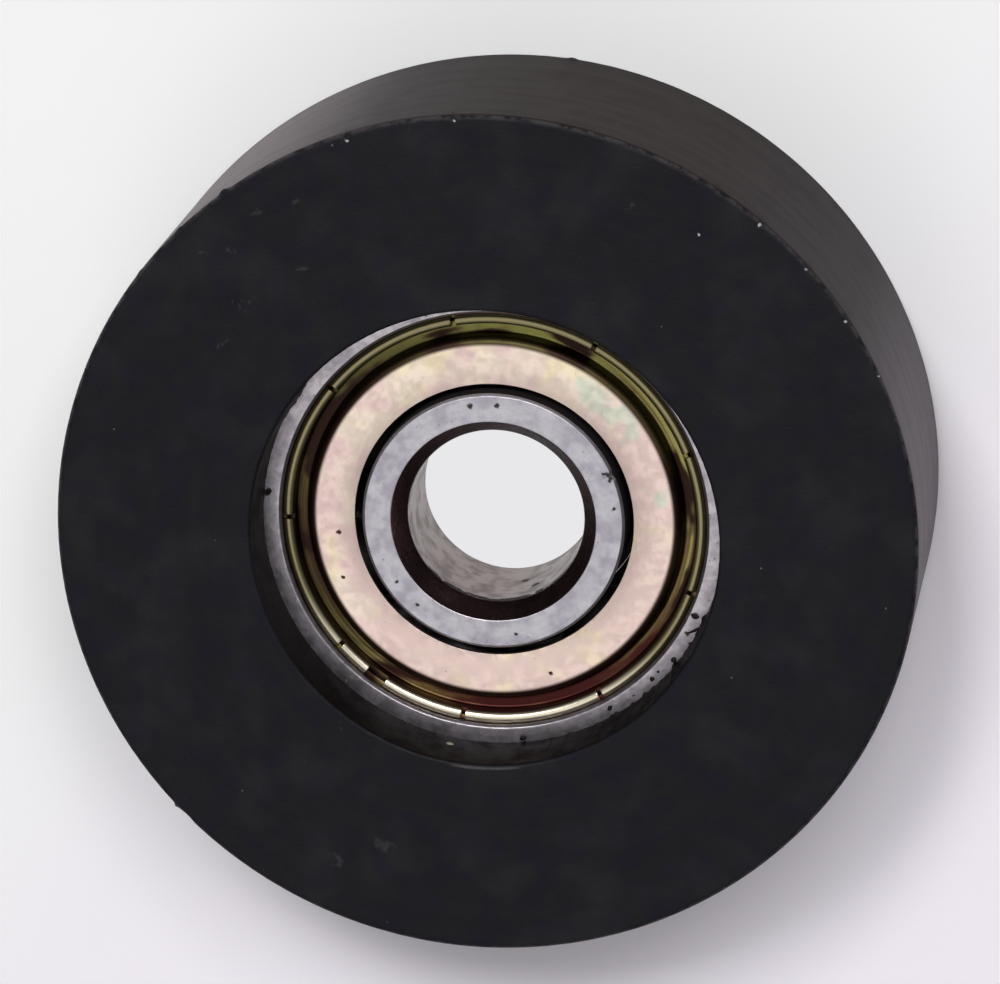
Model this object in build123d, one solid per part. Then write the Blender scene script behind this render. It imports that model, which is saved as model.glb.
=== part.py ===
from build123d import *
from math import radians, tan
import os

# A plastic wheel moulded round a shielded deep-groove ball bearing. Sizes are in millimetres.
# The origin is the middle of the bore, and +Z runs along the bore, out of the front.
# The wheel lies on its rear face. Its two sides are alike, so the rear is the front turned over.

# Wheel moulding
wheel_diameter = 38.6
wheel_width = 13.0
tread_edge_radius = 0.25
mouth_edge_radius = 0.15
recess_draft_deg = 1.0
lip_overlap = 0.55  # how far each lip reaches in over the bearing's face

# Bearing, the standard 8 x 22 x 7: its outside diameter comes from what lies between
bore_diameter = 8.0
bearing_width = 7.0
groove_wall = 1.5  # metal between each raceway's bottom and the ring's other side
bore_chamfer = 0.65
rim_chamfer = 0.3
land_edge_break = 0.12

# Balls and raceways
ball_count = 7
ball_diameter = 3.969
ball_play = 0.0155  # gap between a ball and the bottom of each raceway
raceway_conformity = 0.52  # raceway radius for each unit of ball diameter
inner_shoulder = 0.45  # height of the inner ring's land over its raceway
outer_shoulder = 0.5

# Riveted ribbon cage
cage_sheet = 0.3
cage_width = 1.1
pocket_play = 0.06
rivet_diameter = 0.6
rivet_head_diameter = 1.1
rivet_head_height = 0.22

# Pressed shields and their seats in the outer ring
shield_sheet = 0.2
shield_gap = 0.38  # open ring between a shield and the inner ring
flat_depth = 0.3  # below the bearing's face, as the next two are
curl_depth = 0.17
step_depth = 1.25
step_width = 0.63  # from the outer ring's land out to the seat's mouth
seat_play = 0.03
seat_undercut = 0.12
seat_lip = 0.35  # height of the seat's mouth over its undercut
trough_width = 0.95
trough_bend_radius = 0.2
flat_bend_radius = 0.25
wall_lean = 0.11  # how far the trough's inner wall leans out on its way down
curl_opening = 0.1  # between the curl's two legs
curl_flare = 0.1
curl_drop = 0.5  # height of the curl's outer leg
curl_roundness = 0.45  # bend radius for each unit between the legs' middles
notch_count = 9
notch_width = 0.22
notch_depth = 0.5
first_notch_deg = 21.3
gap_deg = -125.4
gap_width = 1.0

# Worked out from the sizes above
tread_radius = wheel_diameter / 2
wheel_top = wheel_width / 2
bore_radius = bore_diameter / 2
ball_radius = ball_diameter / 2
inner_raceway_bottom = bore_radius + groove_wall
pitch_radius = inner_raceway_bottom + ball_play + ball_radius
outer_raceway_bottom = pitch_radius + ball_radius + ball_play
bearing_radius = outer_raceway_bottom + groove_wall
bearing_top = bearing_width / 2
lip_radius = bearing_radius - lip_overlap
mouth_radius = lip_radius + (wheel_top - bearing_top) * tan(radians(recess_draft_deg))

raceway_radius = raceway_conformity * ball_diameter
inner_land_radius = inner_raceway_bottom + inner_shoulder
outer_land_radius = outer_raceway_bottom - outer_shoulder

pocket_radius = ball_radius + pocket_play
cage_inner_radius = pitch_radius - cage_width / 2
cage_outer_radius = pitch_radius + cage_width / 2
ball_step_deg = 360 / ball_count

curl_width = 2 * shield_sheet + curl_opening
seat_mouth_radius = outer_land_radius + step_width
curl_outer_radius = seat_mouth_radius - seat_play
trough_outer_radius = curl_outer_radius - curl_width
flat_outer_radius = trough_outer_radius - trough_width
shield_inner_radius = inner_land_radius + shield_gap
step_height = bearing_top - step_depth


def closed_section(*points):
    """A flat section, drawn as radius against height."""
    return make_face(Polyline(*points, close=True))


def turned(section):
    """Turn a section round the bore's axis."""
    return revolve(Plane.XZ * section, axis=Axis.Z)


def both_ends(front):
    """The front of something that is alike at both ends, with its rear."""
    return front + Rot(X=180) * front


def ball_places():
    """Where each ball's centre lies at rest."""
    return [Rot(Z=number * ball_step_deg) * Pos(X=pitch_radius) for number in range(ball_count)]


def rivet_places():
    """Halfway between one ball and the next."""
    return [
        Rot(Z=(number + 0.5) * ball_step_deg) * Pos(X=pitch_radius) for number in range(ball_count)
    ]


def bearing_blank():
    """The outer ring's outside, which the wheel is moulded round."""
    section = closed_section(
        (0, bearing_top),
        (bearing_radius, bearing_top),
        (bearing_radius, -bearing_top),
        (0, -bearing_top),
    )
    rim = section.vertices().sort_by(Axis.X)[-2:]
    return turned(chamfer(rim, rim_chamfer))


def wheel_body():
    """The moulding: a plain tread, and a drafted recess each side that ends in the bearing."""
    section = closed_section(
        (lip_radius, bearing_top),
        (mouth_radius, wheel_top),
        (tread_radius, wheel_top),
        (tread_radius, -wheel_top),
        (mouth_radius, -wheel_top),
        (lip_radius, -bearing_top),
    )
    tread_corners = section.vertices().sort_by(Axis.X)[-2:]
    section = fillet(tread_corners, tread_edge_radius)
    mouth_corners = [
        corner
        for corner in section.vertices()
        if abs(corner.X - mouth_radius) < 1e-6 and abs(abs(corner.Y) - wheel_top) < 1e-6
    ]
    section = fillet(mouth_corners, mouth_edge_radius)
    return turned(section) - bearing_blank()


def raceway(bottom_radius, side):
    """The ball groove: side is 1 where the groove's round centre lies outside its bottom."""
    return Torus(bottom_radius + side * raceway_radius, raceway_radius)


def inner_ring():
    """The ring that sits on the axle."""
    section = closed_section(
        (bore_radius, bearing_top),
        (inner_land_radius, bearing_top),
        (inner_land_radius, -bearing_top),
        (bore_radius, -bearing_top),
    )
    section = chamfer(section.vertices().sort_by(Axis.X)[:2], bore_chamfer)
    section = chamfer(section.vertices().sort_by(Axis.X)[-2:], land_edge_break)
    return turned(section) - raceway(inner_raceway_bottom, 1)


def shield_seat():
    """What is cut out of the outer ring at the front: a step, an undercut and a plain mouth."""
    undercut_radius = seat_mouth_radius + seat_undercut
    undercut_top = bearing_top - seat_lip
    return turned(
        closed_section(
            (0, step_height),
            (undercut_radius, step_height),
            (undercut_radius, undercut_top - seat_undercut),
            (seat_mouth_radius, undercut_top),
            (seat_mouth_radius, bearing_top - land_edge_break),
            (seat_mouth_radius + land_edge_break, bearing_top),
            (0, bearing_top),
        )
    )


def outer_ring():
    """The ring that the wheel holds, with its raceway and a seat for each shield."""
    bore = Cylinder(outer_land_radius, bearing_width)
    return bearing_blank() - bore - raceway(outer_raceway_bottom, -1) - both_ends(shield_seat())


def shield_section():
    """The pressed sheet: a flat, a trough that stands on the step, and a rim curled outwards."""
    half = shield_sheet / 2
    flat_height = bearing_top - flat_depth - half
    trough_height = step_height + half
    curl_height = bearing_top - curl_depth - half
    wall_radius = flat_outer_radius + half + wall_lean
    inner_leg = trough_outer_radius + half
    outer_leg = curl_outer_radius - half
    curl_bend_radius = curl_roundness * (outer_leg - inner_leg)
    line = FilletPolyline(
        (shield_inner_radius, flat_height),
        (wall_radius, flat_height),
        (wall_radius + wall_lean, trough_height),
        (inner_leg, trough_height),
        (inner_leg, curl_height),
        (outer_leg, curl_height),
        (outer_leg + curl_flare, curl_height - curl_drop),
        radius=(
            flat_bend_radius,
            trough_bend_radius,
            trough_bend_radius,
            curl_bend_radius,
            curl_bend_radius,
        ),
    )
    return trace(line, shield_sheet)


def rim_cut(angle_deg, width):
    """A cut through the curled rim from above. It starts over the trough, clear of the rim."""
    start_radius = trough_outer_radius - trough_width / 3
    end_radius = curl_outer_radius + 2 * seat_undercut
    middle = Pos((start_radius + end_radius) / 2, 0, bearing_top - notch_depth / 2)
    return Rot(Z=angle_deg) * middle * Box(end_radius - start_radius, width, notch_depth)


def front_shield():
    """The front shield, with the notches that let its rim curl and one wider gap."""
    shield = turned(shield_section())
    notch_step_deg = 360 / notch_count
    for number in range(notch_count):
        shield -= rim_cut(first_notch_deg + number * notch_step_deg, notch_width)
    return shield - rim_cut(gap_deg, gap_width)


def cage_band(height):
    """A flat ring as wide as the cage, standing on the plane where its halves meet."""
    section = closed_section(
        (cage_inner_radius, 0),
        (cage_outer_radius, 0),
        (cage_outer_radius, height),
        (cage_inner_radius, height),
    )
    return turned(section)


def cage_front():
    """One half of the ribbon cage: a flat band pressed out into a cup round each ball."""
    cup_radius = pocket_radius + cage_sheet
    cups = [place * Sphere(cup_radius) for place in ball_places()]
    hollows = [place * Sphere(pocket_radius) for place in ball_places()]
    holes = [place * Cylinder(rivet_diameter / 2, 4 * cage_sheet) for place in rivet_places()]
    pressed = cage_band(cage_sheet) + (cage_band(2 * cup_radius) & (Part() + cups))
    return pressed - hollows - holes


def rivet():
    """A closed rivet with a domed head each side of the two sheets."""
    head_top = (0, cage_sheet + rivet_head_height)
    head_rim = (rivet_head_diameter / 2, cage_sheet)
    outline = Curve() + [
        TangentArc(head_top, head_rim, tangent=(1, 0)),
        Polyline(head_rim, (rivet_diameter / 2, cage_sheet), (rivet_diameter / 2, 0), (0, 0)),
        Line((0, 0), head_top),
    ]
    return both_ends(turned(make_face(outline)))


def cage_rivets():
    """Every rivet of the cage, as separate solids."""
    return Compound(children=[place * rivet() for place in rivet_places()])


def all_parts():
    """Each physical piece by its name."""
    front_half = cage_front()
    shield = front_shield()
    parts = {
        "wheel_body": wheel_body(),
        "outer_ring": outer_ring(),
        "inner_ring": inner_ring(),
        "front_shield": shield,
        "rear_shield": Rot(X=180) * shield,
        "cage_front": front_half,
        "cage_rear": Rot(X=180) * front_half,
        "cage_rivets": cage_rivets(),
    }
    for number, place in enumerate(ball_places(), start=1):
        parts[f"ball_{number}"] = place * Sphere(ball_radius)
    return parts


os.makedirs("parts", exist_ok=True)
for name, part in all_parts().items():
    export_step(part, f"parts/{name}.step")
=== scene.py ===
"""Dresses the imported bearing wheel: fine meshes for the moulding, the rings and the shields, and a
material with its own finish, marks and wear for every surface. Sizes in the classes are in
millimetres and degrees. Meshes are in metres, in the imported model's own frame, +Z out of the front.
"""

import logging
import math
from abc import ABC, abstractmethod
from collections.abc import Callable, Sequence
from dataclasses import dataclass, replace
from enum import Enum
from functools import reduce
from typing import NamedTuple, Optional, Union

import bmesh
import bpy
from mathutils import Matrix, Vector, noise


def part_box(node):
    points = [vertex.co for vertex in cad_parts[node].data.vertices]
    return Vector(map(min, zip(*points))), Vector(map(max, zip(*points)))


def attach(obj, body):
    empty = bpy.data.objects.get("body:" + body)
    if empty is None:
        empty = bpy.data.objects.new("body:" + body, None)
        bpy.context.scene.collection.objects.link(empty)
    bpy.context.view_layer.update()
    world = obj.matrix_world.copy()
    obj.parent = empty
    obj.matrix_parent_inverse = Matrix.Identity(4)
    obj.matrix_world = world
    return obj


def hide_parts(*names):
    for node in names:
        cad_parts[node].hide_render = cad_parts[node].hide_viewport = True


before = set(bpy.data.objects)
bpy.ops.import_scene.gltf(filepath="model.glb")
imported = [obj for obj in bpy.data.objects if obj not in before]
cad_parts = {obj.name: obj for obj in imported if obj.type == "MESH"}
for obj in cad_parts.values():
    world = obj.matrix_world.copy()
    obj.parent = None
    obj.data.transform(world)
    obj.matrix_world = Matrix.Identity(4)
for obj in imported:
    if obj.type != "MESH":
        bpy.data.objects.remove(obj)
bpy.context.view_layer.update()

log = logging.getLogger("bearing_wheel")

MM = 0.001
SMALL = 1e-4  # millimetres within which two places are the same
SHARP_EDGE_DEG = 32.0
BORE_RADIUS = 4.0
ORIGIN = (0.0, 0.0, 0.0)

Mesh = bmesh.types.BMesh
Piece = bpy.types.Object
Material = bpy.types.Material
Node = bpy.types.Node
NodeTree = bpy.types.ShaderNodeTree
Socket = bpy.types.NodeSocket
Sockets = bpy.types.bpy_prop_collection
Colour = tuple[float, float, float]
Value = Union[float, Sequence[float], Socket]
Inputs = dict[Union[str, int], Value]
Move = Callable[[float, float, float], tuple[float, float]]
Choice = Callable[[float, float, Vector], int]


def seen(red: int, green: int, blue: int) -> Colour:
    """A colour as the eye reads it on a screen, 0 to 255, as linear light, 0 to 1."""
    shares = [level / 255 for level in (red, green, blue)]
    return tuple(s / 12.92 if s <= 0.04045 else ((s + 0.055) / 1.055) ** 2.4 for s in shares)


def darker(colour: Colour, share: float) -> Colour:
    """A share of a colour's light."""
    return tuple(level * share for level in colour)


def polar(point: Vector) -> tuple[float, float, float]:
    """A place as radius in millimetres, turn in degrees and height in millimetres."""
    turn_deg = math.degrees(math.atan2(point.y, point.x))
    return math.hypot(point.x, point.y) / MM, turn_deg, point.z / MM


def direction(turn_deg: float) -> tuple[float, float, float]:
    """The level direction at a turn round the axis."""
    return (math.cos(math.radians(turn_deg)), math.sin(math.radians(turn_deg)), 0.0)


def turn_between(first_deg: float, second_deg: float) -> float:
    """The angle from the second direction to the first, from -180 to 180 degrees."""
    return (first_deg - second_deg + 180) % 360 - 180


def fade(distance: float, reach: float) -> float:
    """One at no distance, falling smoothly to nothing at the reach."""
    share = min(abs(distance) / reach, 1.0)
    return 1 - share * share * (3 - 2 * share)


def wander(out: Vector, waves: float, height: float, start: float = 0.0) -> float:
    """Smooth unevenness round the axis, about -0.5 to 0.5, which is the same each time."""
    return noise.noise(out * waves + Vector((start, 0, height)))


@dataclass(frozen=True)
class PackedSizes:
    """The radii and heights that several pieces share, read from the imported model."""

    tread_radius: float
    wheel_top: float
    ring_top: float
    ring_radius: float
    inner_land: float
    shield_top: float
    shield_foot: float

    @classmethod
    def read(cls) -> "PackedSizes":
        """Reads the nodes' boxes.

        Returns:
            The sizes.
        """
        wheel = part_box("wheel_body")[1] / MM
        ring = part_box("outer_ring")[1] / MM
        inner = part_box("inner_ring")[1] / MM
        shield_low, shield_high = (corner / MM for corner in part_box("front_shield"))
        return cls(wheel.x, wheel.z, ring.z, ring.x, inner.x, shield_high.z, shield_low.z)


PACKED = PackedSizes.read()


@dataclass(frozen=True)
class Corner:
    """One corner of a turned outline: radius, height and the radius that rounds it."""

    radius: float
    height: float
    bend: float = 0.0
    segments: int = 4

    def mirrored(self) -> "Corner":
        """The same corner at the rear."""
        return replace(self, height=-self.height)

    def distance(self, other: "Corner") -> float:
        """How far another corner is."""
        return math.hypot(other.radius - self.radius, other.height - self.height)

    def towards(self, other: "Corner", distance: float) -> "OutlinePoint":
        """The point at a distance from this corner on the way to another.

        Args:
            other: The other corner.
            distance: How far along.

        Returns:
            The point, which isn't rounded.
        """
        share = distance / self.distance(other)
        radius = self.radius + share * (other.radius - self.radius)
        height = self.height + share * (other.height - self.height)
        return OutlinePoint(radius, height)


class OutlinePoint(NamedTuple):
    """A point of an outline, how far from it its rounding begins, and the rounding's edges."""

    radius: float
    height: float
    offset: float = 0.0
    segments: int = 1


def both_ends(front: list[Corner], middle: Sequence[Corner] = ()) -> list[Corner]:
    """The front of an outline, what lies in its middle, and the front's mirror image."""
    return [*front, *middle, *(corner.mirrored() for corner in reversed(front))]


@dataclass(frozen=True)
class Lathe:
    """Turns an outline round the wheel's axis."""

    steps: int = 512
    doublings: int = 4  # a short spin is copied round, because one long spin is slow
    support: float = 0.06  # from a rounding's end to the ring that holds the shading flat
    support_room: float = 2.2  # the margins that a run must be longer than, to hold such a ring

    def turn(self, corners: list[Corner], closed: bool = True) -> Mesh:
        """Spins an outline into a mesh and rounds its corners.

        Args:
            corners: The outline's corners in order.
            closed: Whether the last corner joins the first.

        Returns:
            The turned mesh, with its faces pointing one way.
        """
        mesh = bmesh.new()
        outline = self.with_supports(corners, closed)
        points = [mesh.verts.new((point.radius * MM, 0, point.height * MM)) for point in outline]
        ends = points[1:] + (points[:1] if closed else [])
        for pair in zip(points, ends):
            mesh.edges.new(pair)
        for vertex, point in zip(points, outline):
            if point.offset:
                self.round_corner(mesh, vertex, point)
        parts = 2**self.doublings
        bmesh.ops.spin(
            mesh,
            geom=[*mesh.verts, *mesh.edges],
            cent=(0, 0, 0),
            axis=(0, 0, 1),
            dvec=(0, 0, 0),
            angle=math.tau / parts,
            steps=self.steps // parts,
            use_merge=False,
            use_duplicate=False,
        )
        for _ in range(self.doublings):
            self.double(mesh, math.tau / parts)
            parts //= 2
        bmesh.ops.remove_doubles(mesh, verts=mesh.verts, dist=SMALL * MM)
        bmesh.ops.recalc_face_normals(mesh, faces=mesh.faces)
        return mesh

    @staticmethod
    def double(mesh: Mesh, angle: float) -> None:
        """Copies the mesh and turns the copy round the axis, so that the two join.

        Args:
            mesh: The mesh, as far round as it goes.
            angle: How far round that is, in radians.
        """
        copy = bmesh.ops.duplicate(mesh, geom=[*mesh.verts, *mesh.edges, *mesh.faces])
        points = [part for part in copy["geom"] if isinstance(part, bmesh.types.BMVert)]
        rotate(mesh, points, angle, "Z")

    def with_supports(self, corners: list[Corner], closed: bool) -> list[OutlinePoint]:
        """The outline's points, with one close beside each rounded corner on either side.

        Args:
            corners: The outline's corners in order.
            closed: Whether the last corner joins the first.

        Returns:
            The points in order.
        """
        points: list[OutlinePoint] = []
        for place, corner in enumerate(corners):
            has_last = closed or place > 0
            has_following = closed or place < len(corners) - 1
            last = corners[place - 1]
            following = corners[(place + 1) % len(corners)]
            tangent = 0.0
            if corner.bend and has_last and has_following:
                tangent = self.tangent_length(last, corner, following)
            margin = self.support + tangent
            room = self.support_room * margin
            if corner.bend and has_last and corner.distance(last) > room:
                points.append(corner.towards(last, margin))
            points.append(OutlinePoint(corner.radius, corner.height, tangent, corner.segments))
            if corner.bend and has_following and corner.distance(following) > room:
                points.append(corner.towards(following, margin))
        return points

    @staticmethod
    def tangent_length(last: Corner, corner: Corner, following: Corner) -> float:
        """How far from a corner its rounding begins.

        Args:
            last: The corner before it.
            corner: The corner.
            following: The corner after it.

        Returns:
            The distance.
        """
        before = math.atan2(corner.height - last.height, corner.radius - last.radius)
        after = math.atan2(following.height - corner.height, following.radius - corner.radius)
        bend = abs(turn_between(math.degrees(after), math.degrees(before)))
        return corner.bend * math.tan(math.radians(bend) / 2)

    @staticmethod
    def round_corner(mesh: Mesh, vertex: bmesh.types.BMVert, point: OutlinePoint) -> None:
        """Rounds one corner of the outline, before it is spun.

        Args:
            mesh: The mesh that holds the outline.
            vertex: The corner in it.
            point: The corner's own values.
        """
        bmesh.ops.bevel(
            mesh,
            geom=[vertex],
            offset=point.offset * MM,
            offset_type="OFFSET",
            segments=point.segments,
            profile=0.5,
            affect="VERTICES",
            material=-1,
        )


def rotate(mesh: Mesh, points: Sequence[bmesh.types.BMVert], angle: float, axis: str) -> None:
    """Turns some vertices about an axis through the origin, by an angle in radians."""
    bmesh.ops.rotate(mesh, verts=points, cent=(0, 0, 0), matrix=Matrix.Rotation(angle, 3, axis))


def reshape(mesh: Mesh, move: Move) -> None:
    """Moves each vertex in and out and up and down.

    Args:
        mesh: The mesh to change.
        move: Takes radius, turn and height, and gives the new radius and height.
    """
    for vertex in mesh.verts:
        radius, turn, height = polar(vertex.co)
        new_radius, new_height = move(radius, turn, height)
        scale = new_radius / radius if radius else 1.0
        vertex.co = Vector((vertex.co.x * scale, vertex.co.y * scale, new_height * MM))
    bmesh.ops.recalc_face_normals(mesh, faces=mesh.faces)


def add_object(name: str, data: bpy.types.ID) -> Piece:
    """Puts a new object in the scene.

    Args:
        name: Its name.
        data: Its mesh, lamp or camera.

    Returns:
        The object, at the origin.
    """
    thing = bpy.data.objects.new(name, data)
    bpy.context.scene.collection.objects.link(thing)
    return thing


def add_mesh(name: str, mesh: Mesh, materials: Sequence[Material]) -> Piece:
    """Puts a finished mesh in the scene and frees it.

    Args:
        name: The new object's name.
        mesh: The mesh.
        materials: Its materials.

    Returns:
        The object.
    """
    data = bpy.data.meshes.new(name)
    mesh.to_mesh(data)
    mesh.free()
    for material in materials:
        data.materials.append(material)
    return add_object(name, data)


@dataclass(frozen=True)
class Fitting:
    """Where a finished piece belongs: its body, its slot, which is not used, and what it stands for."""

    name: str
    body: str
    slot: str
    stands_for: tuple[str, ...] = ()

    def fit(self, mesh: Mesh, materials: Sequence[Material], choose: Optional[Choice] = None) -> Piece:
        """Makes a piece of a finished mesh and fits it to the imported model.

        Args:
            mesh: The finished mesh, which is freed.
            materials: The piece's materials.
            choose: Gives a face's material by its radius, height and normal.

        Returns:
            The piece.
        """
        mesh.normal_update()
        for face in mesh.faces:
            face.smooth = True
            if choose:
                radius, _, height = polar(face.calc_center_median())
                face.material_index = choose(radius, height, face.normal)
        for edge in mesh.edges:
            if len(edge.link_faces) == 2:
                edge.smooth = edge.calc_face_angle(0) < math.radians(SHARP_EDGE_DEG)
        piece = add_mesh(self.name, mesh, materials)
        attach(piece, self.body)
        if self.stands_for:
            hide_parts(*self.stands_for)
        return piece


class Graph:
    """Adds nodes to one node tree and joins them."""

    def __init__(self, tree: NodeTree, effects: "Effects") -> None:
        """Takes the tree to add to and the shared effects."""
        self.tree = tree
        self.effects = effects

    @classmethod
    def of(cls, owner: Union[Material, bpy.types.World], effects: "Effects") -> "Graph":
        """Begins the graph of a new material or world.

        Args:
            owner: The material or world.
            effects: The shared effects.

        Returns:
            Its graph, still without nodes.
        """
        owner.use_nodes = True
        owner.node_tree.nodes.clear()
        return cls(owner.node_tree, effects)

    def add(self, kind: str, inputs: Inputs, **settings: object) -> Node:
        """Adds a node.

        Args:
            kind: Blender's name for the node, without the word ShaderNode.
            inputs: Values or sockets for its inputs, by name or place.
            **settings: The node's own settings.

        Returns:
            The node.
        """
        node = self.tree.nodes.new("ShaderNode" + kind)
        for name, setting in settings.items():
            setattr(node, name, setting)
        for place, value in inputs.items():
            self.feed(node.inputs[place], value)
        return node

    def feed(self, socket: Socket, value: Value) -> None:
        """Joins a socket to another, or gives it a plain value.

        Args:
            socket: The socket that takes the value.
            value: A number, a vector or colour, or the socket that gives it.
        """
        if isinstance(value, Socket):
            self.tree.links.new(value, socket)
        elif socket.type == "RGBA":
            socket.default_value = (*value, 1.0)
        else:
            socket.default_value = value

    def maths(self, operation: str, first: Value, second: Value = 0.0) -> Socket:
        """The result of an operation on two numbers."""
        return self.add("Math", {0: first, 1: second}, operation=operation).outputs[0]

    def times(self, first: Value, second: Value) -> Socket:
        """The product of two numbers, which is where two masks both show."""
        return self.maths("MULTIPLY", first, second)

    def either(self, first: Value, second: Value) -> Socket:
        """The larger of two numbers, which is where one mask or the other shows."""
        return self.maths("MAXIMUM", first, second)

    def vector(self, operation: str, first: Value, second: Value = ORIGIN) -> Sockets:
        """What a vector operation gives: a vector, then a number."""
        return self.add("VectorMath", {0: first, 1: second}, operation=operation).outputs

    def scaled(self, vector: Value, factor: Value) -> Socket:
        """A vector times a number."""
        return self.add("VectorMath", {0: vector, 3: factor}, operation="SCALE").outputs[0]

    def mix(self, share: Value, first: Value, second: Value) -> Socket:
        """A colour between two others."""
        return self.add("Mix", {0: share, 6: first, 7: second}, data_type="RGBA").outputs[2]

    def between(self, share: Value, first: Value, second: Value) -> Socket:
        """A number between two others."""
        return self.add("Mix", {0: share, 2: first, 3: second}, data_type="FLOAT").outputs[0]

    def noise(self, place: Value, scale: Value, detail: Value, rough: float = 0.5) -> Socket:
        """Smooth noise, about 0.3 to 0.7."""
        inputs = {"Vector": place, "Scale": scale, "Detail": detail, "Roughness": rough}
        return self.add("TexNoise", inputs).outputs[0]

    def step(self, value: Value, low: Value, high: Value) -> Socket:
        """Nothing at low and one at high, smooth between."""
        inputs = {"Value": value, "From Min": low, "From Max": high}
        return self.add("MapRange", inputs, interpolation_type="SMOOTHSTEP").outputs[0]

    def effect(self, effect: "Effect", inputs: Inputs) -> Sockets:
        """Places one of the shared effects.

        Args:
            effect: The effect.
            inputs: Values or sockets for its inputs, by name.

        Returns:
            What it gives.
        """
        node = self.tree.nodes.new("ShaderNodeGroup")
        node.node_tree = self.effects.tree(effect)
        for place, value in inputs.items():
            self.feed(node.inputs[place], value)
        return node.outputs


class Effect(Enum):
    """The effects that several finishes share, by the name of their node group."""

    WHEEL_PLACE = "wheel_place"
    TURNED_LINES = "turned_lines"
    GRAIN = "grain"
    SPECKS = "specks"
    BLOTCHES = "blotches"
    SPOT = "spot"
    RAGGED = "ragged"
    RING = "ring"
    SECTOR = "sector"


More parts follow.
